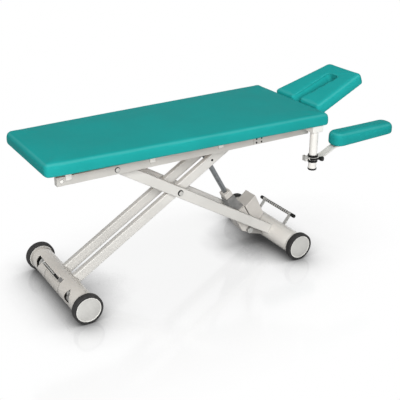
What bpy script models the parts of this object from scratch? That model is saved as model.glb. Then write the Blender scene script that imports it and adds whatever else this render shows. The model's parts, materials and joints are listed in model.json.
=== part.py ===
"""Electric treatment table: a scissor lift on two roller tubes, with a padded top, a head rest and two arm rests.

Metres, +Z up. +X points to the head end and -Y to the near side. The origin is on the floor, under the
middle of the table. Each moving body has an empty on its joint's axis, and its pieces are children of it.
"""

import math

import bmesh
import bpy
from mathutils import Matrix, Vector

# Overall size
REACH = 2.0048  # foot edge of the pad to the tips of the arm rests
PAD_LENGTH = 1.5362
PAD_FOOT_HALF, PAD_HEAD_HALF = 0.270, 0.326  # half widths at both ends
PAD_BOW = 0.004  # the pad's sides swell by this between the ends
PAD_BOTTOM, PAD_TOP = 0.7456, 0.8150
GAP = 0.0003  # left between pieces that touch

# Roller tubes and wheels
FOOT_AXIS_IN = 0.1410  # foot axle, from the foot edge of the pad
WHEELBASE = 1.2428
WHEEL_RADIUS = 0.0755
TUBE_RADIUS = 0.060
TUBE_WALL = 0.004
TUBE_HALF = 0.290
AXLE_RADIUS = 0.010
CORE_RADIUS = 0.0634
TYRE_INNER, TYRE_OUTER = 0.2910, 0.3235  # where a tyre starts and ends along the axle
TYRE_SEGMENTS = 32
ROUND_SEGMENTS = 32

# Scissor arms: rectangular steel tube
LIFT_ANGLE = math.radians(31.35)
ARM_LOWER = WHEELBASE / 2 / math.cos(LIFT_ANGLE)
ARM_UPPER = 0.446
ARM_DEPTH, ARM_WIDTH, ARM_WALL = 0.055, 0.030, 0.0025
INNER_ARM_Y, OUTER_ARM_Y = 0.059, 0.093
ARM_END = 0.030  # past the top pivot
CROSS_PIN_RADIUS, TOP_PIN_RADIUS, GUIDE_AXLE_RADIUS = 0.009, 0.008, 0.007

# Top frame
RAIL_OUTER_Y, RAIL_WIDTH, RAIL_HEIGHT, RAIL_WALL = 0.185, 0.030, 0.043, 0.003
RAIL_START, RAIL_END = 0.082, 1.5048
BAR_TOP = 0.745
CROSSBAR_PLACES = {"foot": 0.1378, "middle": 0.5648, "waist": 0.9498}
CROSSBAR_HALF = 0.1895
HEAD_BAR_IN, HEAD_BAR_WIDTH = 1.4748, 0.060
BOARD_TOP = 0.757
BOARD_INSET = 0.030

# Actuator, from its lower pin along its axis
LIFT_POINT = 0.971  # along the inner arm, from the foot axle
ACTUATOR_LENGTH = 0.552
ACTUATOR_ANGLE = math.radians(119.3)
ROD_RADIUS = 0.014
ROD_TAIL = 0.185  # lower end of the rod, inside the gear block

# Foot pedal bar on the head tube
PEDAL_RADIUS, PEDAL_ANGLE = 0.126, math.radians(50.5)
LEVER_Y, LEVER_WIDTH, LEVER_THICK = 0.120, 0.020, 0.006
PEDAL_HALF = 0.157

# Castors in the foot tube
CASTOR_Y, CASTOR_RADIUS, CASTOR_WIDTH = 0.180, 0.019, 0.020
CASTOR_OFFSET = Vector((-0.034, 0, 0.002))  # from the foot axle to a castor's axle
CASTOR_FORK_RISE = 0.030
CASTOR_CHEEK_Y = 0.1575
FORK_GUIDE_Y = 0.1525  # discs in the foot tube that the forks slide on
LEVER_ANGLE = math.radians(48.5)  # of the foot lever, up from the tube's foot side
LEVER_HINGE_Y, LEVER_TIP_Y = 0.158, -0.038
LEVER_DEPTH = 0.0045  # the lever's middle, below the tube's surface
RECESS_ANGLE, RECESS_HALF = math.radians(52), 0.015  # flat for the fingers, at the lever's tip
COVER_NEAR_Y, COVER_FAR_Y, COVER_TOP, COVER_BOTTOM = -0.084, 0.092, 0.0345, -0.045

# Head rest
HEAD_TILT = math.radians(19.66)
HEAD_HINGE_IN, HEAD_HINGE_Z = 1.5508, 0.735
HEAD_START, HEAD_LENGTH, HEAD_THICK = 0.020, 0.372, 0.050
HEAD_BASE_HALF, HEAD_TIP_HALF = 0.195, 0.141
SLOT_BASE_HALF, SLOT_TIP_HALF, SLOT_LENGTH = 0.0225, 0.0425, 0.280
HEAD_PLATE_HALF = 0.0035
HEAD_PAD_LIFT = 0.0191  # hinge axis to the foam above the board
HEAD_RIM_LIFT = 0.0065  # hinge axis to the lower rim of the cover, which wraps the board's edge
HINGE_LUG_Y, HINGE_LUG_THICK = 0.0925, 0.006  # inside the head rest's bars
HINGE_ROD_RADIUS = 0.006

# Arm rests
POST_IN, POST_Y, POST_RADIUS = 1.4748, 0.270, 0.0215
POST_FOOT, CAP_FOOT = 0.504, 0.494
CLAMP_LOW, CLAMP_HIGH = 0.5550, 0.5675
LOW_COLLAR, HIGH_COLLAR, COLLAR_RADIUS = 0.0155, 0.0115, 0.0265
ARM_BAR_WIDTH, ARM_BAR_THICK = 0.044, 0.008
BOLSTER_START, BOLSTER_LENGTH, BOLSTER_WIDTH = 1.5948, 0.410, 0.115
BOLSTER_LOW, BOLSTER_HIGH, BOLSTER_RISE = 0.605, 0.681, 0.014  # the underside rises towards the tip

SIDES = (("near", -1), ("far", 1))
AXES = {"X": Vector((1, 0, 0)), "Y": Vector((0, 1, 0)), "Z": Vector((0, 0, 1))}


def along(distance):
    """World x of a point this far from the foot edge of the pad."""
    return distance - REACH / 2


def reach(start, angle, distance):
    """The point this far from start, at this angle up from +X, in a plane of constant y."""
    return start + distance * Vector((math.cos(angle), 0, math.sin(angle)))


FOOT_AXIS = Vector((along(FOOT_AXIS_IN), 0, WHEEL_RADIUS))
HEAD_AXIS = FOOT_AXIS + Vector((WHEELBASE, 0, 0))
CROSS_PIN = reach(FOOT_AXIS, LIFT_ANGLE, ARM_LOWER)
TOP_PIN = reach(CROSS_PIN, math.pi - LIFT_ANGLE, ARM_UPPER)
GUIDE_PIN = reach(CROSS_PIN, LIFT_ANGLE, ARM_UPPER)
LIFT_PIN = reach(FOOT_AXIS, LIFT_ANGLE, LIFT_POINT)
ACTUATOR_PIN = reach(LIFT_PIN, ACTUATOR_ANGLE + math.pi, ACTUATOR_LENGTH)
RAIL_LOW = TOP_PIN.z - RAIL_HEIGHT / 2
RAIL_TOP = TOP_PIN.z + RAIL_HEIGHT / 2
CASTOR_AXLE = FOOT_AXIS + CASTOR_OFFSET
HEAD_HINGE = Vector((along(HEAD_HINGE_IN), 0, HEAD_HINGE_Z))
LEVER_HINGE = reach(FOOT_AXIS, math.pi - LEVER_ANGLE, TUBE_RADIUS - LEVER_DEPTH) + Vector((0, LEVER_HINGE_Y, 0))
KNOB_TURN = math.radians(56)  # the clamp knob points outwards between +X and the table's side


def post_point(sign, z):
    return Vector((along(POST_IN), sign * POST_Y, z))


# Outlines

def arc(centre, radius, start, end, steps):
    """Points on an arc, from one angle to another in degrees."""
    angles = [math.radians(start + (end - start) * i / steps) for i in range(steps + 1)]
    return [(centre[0] + radius * math.cos(a), centre[1] + radius * math.sin(a)) for a in angles]


def rectangle(low_a, high_a, low_b, high_b):
    return [(low_a, low_b), (high_a, low_b), (high_a, high_b), (low_a, high_b)]


def rounded_rectangle(half_a, half_b, radius, steps=2):
    points = []
    for sign_a, sign_b, start in ((1, 1, 0), (-1, 1, 90), (-1, -1, 180), (1, -1, 270)):
        centre = (sign_a * (half_a - radius), sign_b * (half_b - radius))
        points += arc(centre, radius, start, start + 90, steps)
    return points


def filleted(corners, steps=6):
    """A polygon of (a, b, radius) corners with each corner rounded."""
    points = []
    for i, (a, b, radius) in enumerate(corners):
        here = Vector((a, b))
        before = (Vector(corners[i - 1][:2]) - here).normalized()
        after = (Vector(corners[(i + 1) % len(corners)][:2]) - here).normalized()
        half = before.angle(after) / 2
        centre = here + (before + after).normalized() * (radius / math.sin(half))
        first = here + before * (radius / math.tan(half)) - centre
        last = here + after * (radius / math.tan(half)) - centre
        turn = first.angle_signed(last)
        for step in range(steps + 1):
            points.append(tuple(centre + Matrix.Rotation(-turn * step / steps, 2) @ first))
    return points


def pad_outline(half_a, half_b, radius, drawn_in, corner_steps=6, side_steps=8):
    """A rounded rectangle whose sides pull in a little between the corners."""
    corners = []
    for sign_a, sign_b, start in ((1, 1, 0), (-1, 1, 90), (-1, -1, 180), (1, -1, 270)):
        centre = (sign_a * (half_a - radius), sign_b * (half_b - radius))
        corners.append(arc(centre, radius, start, start + 90, corner_steps))
    points = []
    for i, corner in enumerate(corners):
        points += corner
        start, end = Vector(corner[-1]), Vector(corners[(i + 1) % 4][0])
        inward = Vector((start.y - end.y, end.x - start.x)).normalized()
        for step in range(1, side_steps):
            t = step / side_steps
            points.append(tuple(start.lerp(end, t) + inward * (drawn_in * 4 * t * (1 - t))))
    return points


def couch_outline(inset, foot_radius, head_radius, side_steps=6):
    """Plan of the main pad: narrower at the foot, with slightly swelling sides."""
    start, end = inset, PAD_LENGTH - inset
    foot, head = PAD_FOOT_HALF - inset, PAD_HEAD_HALF - inset
    rounded = filleted([
        (start, -foot, foot_radius), (end, -head, head_radius), (end, head, head_radius), (start, foot, foot_radius),
    ])
    points = []
    for here, after in zip(rounded, rounded[1:] + rounded[:1]):
        points.append(here)
        if abs(after[0] - here[0]) > 0.5:
            points += [tuple(Vector(here).lerp(Vector(after), i / side_steps)) for i in range(1, side_steps)]
    swollen = []
    for a, b in points:
        t = a / PAD_LENGTH
        swollen.append((a - PAD_LENGTH / 2, b + math.copysign(PAD_BOW * 4 * t * (1 - t), b)))
    return swollen


# Solids

def placed(a, b, depth, axis):
    """A point of an outline at this depth along the axis that the outline lies square to."""
    return {"X": (depth, a, b), "Y": (a, depth, b), "Z": (a, b, depth)}[axis]


def extruded(bm, faces, distance, axis):
    grown = bmesh.ops.extrude_face_region(bm, geom=faces)
    moved = [item for item in grown["geom"] if isinstance(item, bmesh.types.BMVert)]
    bmesh.ops.translate(bm, verts=moved, vec=AXES[axis] * distance)
    bmesh.ops.recalc_face_normals(bm, faces=bm.faces)
    return bm


def prism(outline, low, high, axis="Y"):
    bm = bmesh.new()
    face = bm.faces.new([bm.verts.new(placed(a, b, low, axis)) for a, b in outline])
    return extruded(bm, [face], high - low, axis)


def block(low, high, bevel=0.0):
    """A box between two corners, with its edges bevelled."""
    bm = prism(rectangle(low[0], high[0], low[2], high[2]), low[1], high[1])
    if bevel:
        bmesh.ops.bevel(
            bm, geom=bm.edges[:], offset=bevel, segments=2, profile=0.5, affect="EDGES", material=-1
        )
    return bm


def box_tube(half_a, half_b, wall, radius, low, high, axis):
    """Rectangular tube with open ends, centred on its axis."""
    bm = bmesh.new()
    loops = []
    for inset in (0, wall):
        outline = rounded_rectangle(half_a - inset, half_b - inset, radius - 0.6 * inset)
        loops.append([bm.verts.new(placed(a, b, low, axis)) for a, b in outline])
    outer, inner = loops
    count = len(outer)
    faces = []
    for i in range(count):
        j = (i + 1) % count
        faces.append(bm.faces.new((outer[i], outer[j], inner[j], inner[i])))
    return extruded(bm, faces, high - low, axis)


def turned(profile, segments, axis="Y"):
    """A closed outline of (radius, distance along the axis) points turned about the axis, a facet down."""
    bm = bmesh.new()
    start = -math.pi / 2 + math.pi / segments
    cos, sin = math.cos(start), math.sin(start)
    verts = [bm.verts.new(placed(r * cos, r * sin, d, axis)) if axis != "X" else
             bm.verts.new((d, r * cos, r * sin)) for r, d in profile]
    for i, vert in enumerate(verts):
        after = (i + 1) % len(verts)
        if profile[i][0] or profile[after][0]:
            bm.edges.new((vert, verts[after]))
    bmesh.ops.spin(
        bm, geom=bm.verts[:] + bm.edges[:], cent=(0, 0, 0), axis=AXES[axis], dvec=(0, 0, 0),
        angle=2 * math.pi, steps=segments, use_merge=True, use_duplicate=False,
    )
    bmesh.ops.remove_doubles(bm, verts=bm.verts, dist=1e-6)
    bmesh.ops.recalc_face_normals(bm, faces=bm.faces)
    return bm


def rod(radius, low, high, segments=20, axis="Y"):
    return turned([(0, low), (radius, low), (radius, high), (0, high)], segments, axis)


def saddle(low, high):
    """A cutter that clears a roller tube, whichever way its facets lie."""
    return rod((TUBE_RADIUS + GAP) / math.cos(math.pi / ROUND_SEGMENTS), low, high, ROUND_SEGMENTS)


def shifted(bm, vector):
    bmesh.ops.translate(bm, verts=bm.verts, vec=vector)
    return bm


def cushion(outline, low, high, edge, crown, inset):
    """An upholstered pad: soft upper edge, tight lower edge and a top that swells towards the middle."""
    bm = prism(outline, low, high, "Z")
    for level, width, segments in ((high, edge, 4), (low, 0.25 * edge, 2)):
        rim = [e for e in bm.edges if all(abs(v.co.z - level) < 1e-6 for v in e.verts)]
        bmesh.ops.bevel(
            bm, geom=rim, offset=width, segments=segments, profile=0.5, affect="EDGES", material=-1
        )
    if crown:
        top = max(bm.faces, key=lambda face: face.normal.z * face.calc_area())
        bmesh.ops.inset_region(bm, faces=[top], thickness=inset, depth=crown, use_even_offset=True)
    return bm


# Objects

BODIES = {}


def body(name, axis_point, parent=None):
    """An empty on the body's joint axis."""
    empty = bpy.data.objects.new(name + "_body", None)
    empty.empty_display_size = 0.05
    bpy.context.scene.collection.objects.link(empty)
    empty.parent = BODIES.get(parent)
    empty.location = Vector(axis_point) - world_origin(parent)
    BODIES[name] = empty


def world_origin(name):
    origin = Vector((0, 0, 0))
    empty = BODIES.get(name)
    while empty:
        origin += empty.location
        empty = empty.parent
    return origin


def paint(name, colour, roughness, metallic=0.0):
    """A plain finish from an sRGB hex colour."""
    channels = [int(colour[i:i + 2], 16) / 255 for i in (1, 3, 5)]
    linear = [c / 12.92 if c <= 0.04045 else ((c + 0.055) / 1.055) ** 2.4 for c in channels]
    material = bpy.data.materials.new(name)
    material.use_nodes = True
    shader = material.node_tree.nodes["Principled BSDF"]
    shader.inputs["Base Color"].default_value = (*linear, 1)
    shader.inputs["Roughness"].default_value = roughness
    shader.inputs["Metallic"].default_value = metallic
    return material


def add(name, bm, body_name, finish, at=(0, 0, 0), tilt=0.0):
    """Makes a piece from a bmesh: at is its origin in the world, and tilt turns its +X up towards +Z."""
    mesh = bpy.data.meshes.new(name)
    bm.to_mesh(mesh)
    bm.free()
    mesh.shade_smooth()
    mesh.set_sharp_from_angle(angle=math.radians(35))
    mesh.materials.append(finish)
    piece = bpy.data.objects.new(name, mesh)
    bpy.context.scene.collection.objects.link(piece)
    piece.parent = BODIES[body_name]
    piece.location = Vector(at) - world_origin(body_name)
    piece.rotation_euler = (0, -tilt, 0)
    return piece


def combine(piece, bm, operation, tilt=0.0):
    """Cuts a shape from a piece or unites it with the piece. It is given in the piece's own frame."""
    mesh = bpy.data.meshes.new(f"{piece.name}_{operation.lower()}")
    bm.to_mesh(mesh)
    bm.free()
    tool = bpy.data.objects.new(mesh.name, mesh)
    bpy.context.scene.collection.objects.link(tool)
    tool.parent = piece.parent
    tool.location = piece.location
    tool.rotation_euler = (0, piece.rotation_euler.y - tilt, 0)
    tool.hide_render = True
    tool.display_type = "WIRE"
    modifier = piece.modifiers.new(operation.lower(), "BOOLEAN")
    modifier.operation = operation
    modifier.object = tool


def cut(piece, bm, tilt=0.0):
    combine(piece, bm, "DIFFERENCE", tilt)


def unite(piece, bm, tilt=0.0):
    combine(piece, bm, "UNION", tilt)


# Wheels and roller tubes

def tyre(sign):
    """Rubber ring with rounded shoulders. Its lowest facet is flat on the floor."""
    outer = WHEEL_RADIUS / math.cos(math.pi / TYRE_SEGMENTS)
    low, high = TYRE_INNER, TYRE_OUTER
    profile = [
        (CORE_RADIUS + GAP, low), (outer - 0.006, low), (outer, low + 0.006), (outer, high - 0.006),
        (outer - 0.006, high), (CORE_RADIUS + GAP, high),
    ]
    return turned([(r, sign * d) for r, d in profile], TYRE_SEGMENTS)


def wheel_core(sign):
    """Moulded wheel disc with a domed outer face and a blind bore for the axle."""
    bore = AXLE_RADIUS + GAP
    profile = [
        (bore, TYRE_INNER), (CORE_RADIUS, TYRE_INNER), (CORE_RADIUS, 0.3195), (0.0560, 0.3230),
        (0.0280, 0.3262), (0, 0.3272), (0, 0.3115), (bore, 0.3115),
    ]
    return turned([(r, sign * d) for r, d in profile], TYRE_SEGMENTS)


def roller_tube(bulkheads):
    """Open-ended tube with inner discs that hold the axle, as one turned profile."""
    inner = TUBE_RADIUS - TUBE_WALL
    bore = AXLE_RADIUS + GAP
    profile = [(TUBE_RADIUS, -TUBE_HALF), (TUBE_RADIUS, TUBE_HALF), (inner, TUBE_HALF)]
    for place in bulkheads:
        profile += [(inner, place + 0.002), (bore, place + 0.002), (bore, place - 0.002), (inner, place - 0.002)]
    profile.append((inner, -TUBE_HALF))
    return turned(profile, ROUND_SEGMENTS)


def castor_window(sign):
    """Leaf-shaped opening in the foot tube for a castor. Its frame is turned past upright, so z points down."""
    near = [(-0.183, 0.0306), (-0.174, 0.0154), (-0.164, -0.002), (-0.1560, -0.020), (-0.1560, -0.028),
            (-0.171, -0.0315), (-0.218, -0.0315), (-0.222, -0.0153), (-0.2145, -0.002), (-0.201, 0.0147)]
    far = [(0.222, 0.028), (0.2208, 0.0073), (0.2172, -0.0067), (0.2093, -0.021), (0.200, -0.0345), (0.194, -0.032),
           (0.1725, -0.0047), (0.167, 0.0069), (0.162, 0.028)]
    outline = near if sign < 0 else far
    return prism([(y, -up) for y, up in outline], 0.015, 0.075, "X")


def make_base(finishes):
    body("base", FOOT_AXIS)
    add("foot_axle", rod(AXLE_RADIUS, -0.311, 0.311), "base", finishes["steel"], FOOT_AXIS)
    for side, sign in SIDES:
        add(f"foot_tyre_{side}", tyre(sign), "base", finishes["rubber"], FOOT_AXIS)
        add(f"foot_wheel_{side}", wheel_core(sign), "base", finishes["white"], FOOT_AXIS)


def arm(length, body_name, name, y, at, tilt, pins, finish):
    """A scissor arm of rectangular tube, saddled on its roller tube and drilled for its pins."""
    bm = box_tube(ARM_WIDTH / 2, ARM_DEPTH / 2, ARM_WALL, 0.005, 0.03, length + ARM_END, "X")
    piece = add(name, shifted(bm, (0, y, 0)), body_name, finish, at, tilt)
    cut(piece, saddle(y - 0.1, y + 0.1))
    for place, radius in pins:
        cut(piece, shifted(rod(radius + GAP, y - 0.05, y + 0.05, 16), (place, 0, 0)))


def make_inner_arms(finishes):
    body("inner_arms", FOOT_AXIS, "base")
    white = finishes["white"]
    pins = ((ARM_LOWER, CROSS_PIN_RADIUS), (ARM_LOWER + ARM_UPPER, GUIDE_AXLE_RADIUS))
    for side, sign in SIDES:
        arm(ARM_LOWER + ARM_UPPER, "inner_arms", f"inner_arm_{side}", sign * INNER_ARM_Y, FOOT_AXIS,
            LIFT_ANGLE, pins, white)
    tube = add("foot_tube", roller_tube((0.272, FORK_GUIDE_Y, -FORK_GUIDE_Y, -0.272)), "inner_arms", white, FOOT_AXIS)
    window_tilt = math.pi - math.radians(30)
    for side, sign in SIDES:
        cut(tube, castor_window(sign), window_tilt)
        well = sorted((sign * 0.155, sign * 0.198))
        cut(tube, block((-0.056, well[0], -0.075), (-0.012, well[1], -0.004)))
    slot = block((0.047, LEVER_TIP_Y - 0.009, -0.007), (0.075, LEVER_HINGE_Y + 0.008, 0.007))
    cut(tube, slot, math.pi - LEVER_ANGLE)
    recess = block((TUBE_RADIUS - 0.0025, -0.084, -RECESS_HALF), (TUBE_RADIUS + 0.015, -0.030, RECESS_HALF))
    cut(tube, recess, math.pi - RECESS_ANGLE)
    cut(tube, cover_panel(-0.0010, 0.0005, TUBE_WALL + 0.002))
    add("foot_cover", cover_panel(0.0, -0.0002, TUBE_WALL - 0.0004), "inner_arms", white, FOOT_AXIS)
    shaft = turned([(0, -0.115), (0.012, -0.115), (0.012, -0.1083), (CROSS_PIN_RADIUS, -0.1083),
                    (CROSS_PIN_RADIUS, 0.1083), (0.012, 0.1083), (0.012, 0.115), (0, 0.115)], 16)
    add("cross_shaft", shaft, "inner_arms", finishes["steel"], CROSS_PIN)
    add("guide_axle", rod(GUIDE_AXLE_RADIUS, -0.180, 0.180), "inner_arms", finishes["steel"], GUIDE_PIN)
    roller_radius = RAIL_HEIGHT / 2 - RAIL_WALL - 0.0008
    for side, sign in SIDES:
        body(f"guide_roller_{side}", GUIDE_PIN, "inner_arms")
        bore = GUIDE_AXLE_RADIUS + GAP
        profile = [(bore, 0.157), (roller_radius, 0.157), (roller_radius, 0.179), (bore, 0.179)]
        roller = turned([(r, sign * d) for r, d in profile], 16)
        add(f"guide_roller_{side}", roller, f"guide_roller_{side}", finishes["black"], GUIDE_PIN)


def cover_panel(inset, proud, depth):
    """The curved panel under the foot lever, or the hole for it when the inset is negative."""
    top = 180 - math.degrees(math.asin((COVER_TOP - inset) / TUBE_RADIUS))
    bottom = 180 - math.degrees(math.asin((COVER_BOTTOM + inset) / TUBE_RADIUS))
    outer = arc((0, 0), TUBE_RADIUS + proud, top, bottom, 12)
    inner = arc((0, 0), TUBE_RADIUS + proud - depth, bottom, top, 12)
    return prism(outer + inner, COVER_NEAR_Y + inset, COVER_FAR_Y - inset)


def make_castors(finishes):
    """Small castors on forks that the foot lever lowers through the openings of the foot tube."""
    steel = finishes["steel"]
    half = CASTOR_WIDTH / 2
    for side, sign in SIDES:
        middle = CASTOR_AXLE + Vector((0, sign * CASTOR_Y, 0))
        body(f"castor_fork_{side}", middle, "inner_arms")
        cheek = sorted((sign * (CASTOR_CHEEK_Y - CASTOR_Y - 0.002), sign * (CASTOR_CHEEK_Y - CASTOR_Y + 0.002)))
        stub = sorted((sign * (CASTOR_CHEEK_Y - CASTOR_Y), sign * 0.012))
        fork = add(f"castor_fork_{side}", rod(0.004, *stub, 12), f"castor_fork_{side}", steel, middle)
        unite(fork, block((-0.007, cheek[0], -0.008), (0.007, cheek[1], CASTOR_FORK_RISE)))
        body(f"castor_{side}", middle, f"castor_fork_{side}")
        profile = [(0.0043, -half), (CASTOR_RADIUS - 0.002, -half), (CASTOR_RADIUS, 0.002 - half),
                   (CASTOR_RADIUS, half - 0.002), (CASTOR_RADIUS - 0.002, half), (0.0043, half)]
        add(f"castor_wheel_{side}", turned(profile, 16), f"castor_{side}", finishes["rubber"], middle)
    body("foot_lever", LEVER_HINGE, "inner_arms")
    handle = turned([(0, -0.004), (0.0045, -0.004), (0.0045, LEVER_TIP_Y - LEVER_HINGE_Y + 0.046),
                     (0.0058, LEVER_TIP_Y - LEVER_HINGE_Y + 0.044), (0.0058, LEVER_TIP_Y - LEVER_HINGE_Y),
                     (0, LEVER_TIP_Y - LEVER_HINGE_Y)], 16)
    lever = add("foot_lever", handle, "foot_lever", steel, LEVER_HINGE, math.pi - LEVER_ANGLE)
    unite(lever, rod(0.0062, -0.0066, 0.0066, 16, "Z"))


def make_outer_arms(finishes):
    body("outer_arms", CROSS_PIN, "inner_arms")
    white, steel = finishes["white"], finishes["steel"]
    pins = ((ARM_LOWER, CROSS_PIN_RADIUS), (ARM_LOWER + ARM_UPPER, TOP_PIN_RADIUS))
    for side, sign in SIDES:
        arm(ARM_LOWER + ARM_UPPER, "outer_arms", f"outer_arm_{side}", sign * OUTER_ARM_Y, HEAD_AXIS,
            math.pi - LIFT_ANGLE, pins, white)
    tube = add("head_tube", roller_tube((0.272, -0.272)), "outer_arms", white, HEAD_AXIS)
    for side, sign in SIDES:
        middle = sign * LEVER_Y
        half = LEVER_WIDTH / 2 + 0.001
        cut(tube, block((0.045, middle - half, -0.0175), (0.075, middle + half, 0.0175)), PEDAL_ANGLE)
    add("head_axle", rod(AXLE_RADIUS, -0.311, 0.311), "outer_arms", steel, HEAD_AXIS)
    head = 0.012
    edge = RAIL_OUTER_Y + GAP
    shaft = turned([(0, -edge - 0.004), (head, -edge - 0.004), (head, -edge), (TOP_PIN_RADIUS, -edge),
                    (TOP_PIN_RADIUS, edge), (head, edge), (head, edge + 0.004), (0, edge + 0.004)], 16)
    add("top_pivot_shaft", shaft, "outer_arms", steel, TOP_PIN)
    make_bracket(finishes)
    for side, sign in SIDES:
        body(f"head_wheel_{side}", HEAD_AXIS, "outer_arms")
        add(f"head_tyre_{side}", tyre(sign), f"head_wheel_{side}", finishes["rubber"], HEAD_AXIS)
        add(f"head_wheel_{side}", wheel_core(sign), f"head_wheel_{side}", white, HEAD_AXIS)


def make_bracket(finishes):
    """Fork on the head tube that holds the actuator's lower pin."""
    offset = ACTUATOR_PIN - HEAD_AXIS
    tilt = math.atan2(offset.z, offset.x)
    span = offset.length
    ear = 0.019
    outline = [(0.045, -0.032), (span, -ear)] + arc((span, 0), ear, -75, 75, 8) + [(span, ear), (0.045, 0.032)]
    bracket = add("actuator_bracket", prism(outline, -0.050, 0.050), "outer_arms", finishes["white"],
                  HEAD_AXIS, tilt)
    cut(bracket, saddle(-0.1, 0.1))
    cut(bracket, block((0.078, -0.0415, -0.06), (0.20, 0.0415, 0.06)))
    cut(bracket, shifted(rod(0.0083, -0.1, 0.1), (span, 0, 0)))
    pin = turned([(0, -0.060), (0.013, -0.060), (0.013, -0.0503), (0.008, -0.0503), (0.008, 0.0503),
                  (0.013, 0.0503), (0.013, 0.058), (0, 0.058)], 16)
    add("actuator_pin", pin, "outer_arms", finishes["steel"], ACTUATOR_PIN)


def make_pedal(finishes):
    """Rocking foot bar: two levers on the head axle, out through slots in the tube, and a ribbed bar."""
    body("pedal", HEAD_AXIS, "outer_arms")
    half_y, half_z = LEVER_WIDTH / 2, LEVER_THICK / 2
    bar_radius = 0.0065
    for side, sign in SIDES:
        low, high = sign * LEVER_Y - half_y, sign * LEVER_Y + half_y
        boss = turned([(AXLE_RADIUS + GAP, low), (0.018, low), (0.018, high), (AXLE_RADIUS + GAP, high)], 16)
        lever = add(f"pedal_lever_{side}", boss, "pedal", finishes["grey"], HEAD_AXIS, PEDAL_ANGLE)
        unite(lever, block((0.014, low, -half_z), (PEDAL_RADIUS, high, half_z)))
        unite(lever, shifted(rod(0.0105, low, high, 14), (PEDAL_RADIUS, 0, 0)))
        cut(lever, shifted(rod(bar_radius + GAP, low - 0.01, high + 0.01, 14), (PEDAL_RADIUS, 0, 0)))
    inside = LEVER_Y - half_y - GAP
    outside = LEVER_Y + half_y + GAP
    ribs = 13
    pitch = 2 * inside / ribs
    profile = [(0, -PEDAL_HALF), (0.0085, -PEDAL_HALF), (0.0085, -outside), (bar_radius, -outside), (bar_radius, -inside)]
    for rib in range(ribs):
        start = -inside + rib * pitch
        profile += [(0.0082, start), (0.0100, start + 0.30 * pitch), (0.0100, start + 0.70 * pitch)]
    profile += [(0.0082, inside), (bar_radius, inside), (bar_radius, outside), (0.0085, outside),
                (0.0085, PEDAL_HALF), (0, PEDAL_HALF)]
    bar = shifted(turned(profile, 12), (PEDAL_RADIUS, 0, 0))
    add("pedal_bar", bar, "pedal", finishes["grey"], HEAD_AXIS, PEDAL_ANGLE)


def make_actuator(finishes):
    """Spindle drive: gear block and motor on one housing, and a steel rod that pushes the inner arms."""
    body("actuator", ACTUATOR_PIN, "outer_arms")
    here = {"body_name": "actuator", "at": ACTUATOR_PIN, "tilt": ACTUATOR_ANGLE}
    outline = arc((0, 0), 0.022, 170, 240, 6) + [
        (0.030, -0.044), (0.1497, -0.044), (0.1497, 0.034), (0.130, 0.038), (0.024, 0.038)]
    housing = add("drive_housing", prism(outline, -0.040, 0.040), finish=finishes["housing"], **here)
    cut(housing, rod(0.0083, -0.1, 0.1))
    cut(housing, rod(ROD_RADIUS + 0.001, 0.046, 0.20, 24, "X"))
    outline = [(0.150, -0.0437), (0.205, -0.028), (0.2497, -0.026), (0.2497, 0.026), (0.205, 0.028), (0.150, 0.0335)]
    gear = add("gear_block", prism(outline, -0.031, 0.031), finish=finishes["grey"], **here)
    cut(gear, rod(ROD_RADIUS + 0.0006, 0.14, 0.26, 24, "X"))
    collar = add("spindle_collar", block((0.250, -0.027, -0.0235), (0.286, 0.027, 0.0235), 0.003),
                 finish=finishes["housing"], **here)
    cut(collar, rod(ROD_RADIUS + 0.0004, 0.24, 0.30, 24, "X"))
    outline = [(0.022, -0.0443), (0.1497, -0.0443), (0.164, -0.127), (0.027, -0.120), (0.014, -0.086)]
    motor = prism(outline, -0.050, 0.045)
    bmesh.ops.bevel(motor, geom=motor.edges[:], offset=0.004, segments=2, profile=0.5, affect="EDGES", material=-1)
    add("motor_housing", motor, finish=finishes["housing"], **here)
    body("lift_rod", LIFT_PIN, "actuator")
    shaft = add("lift_rod", rod(ROD_RADIUS, ROD_TAIL, ACTUATOR_LENGTH + 0.004, 24, "X"), "lift_rod",
                finishes["steel"], ACTUATOR_PIN, ACTUATOR_ANGLE)
    unite(shaft, shifted(rod(0.010, -0.0425, 0.0425), (ACTUATOR_LENGTH, 0, 0)))


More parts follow.
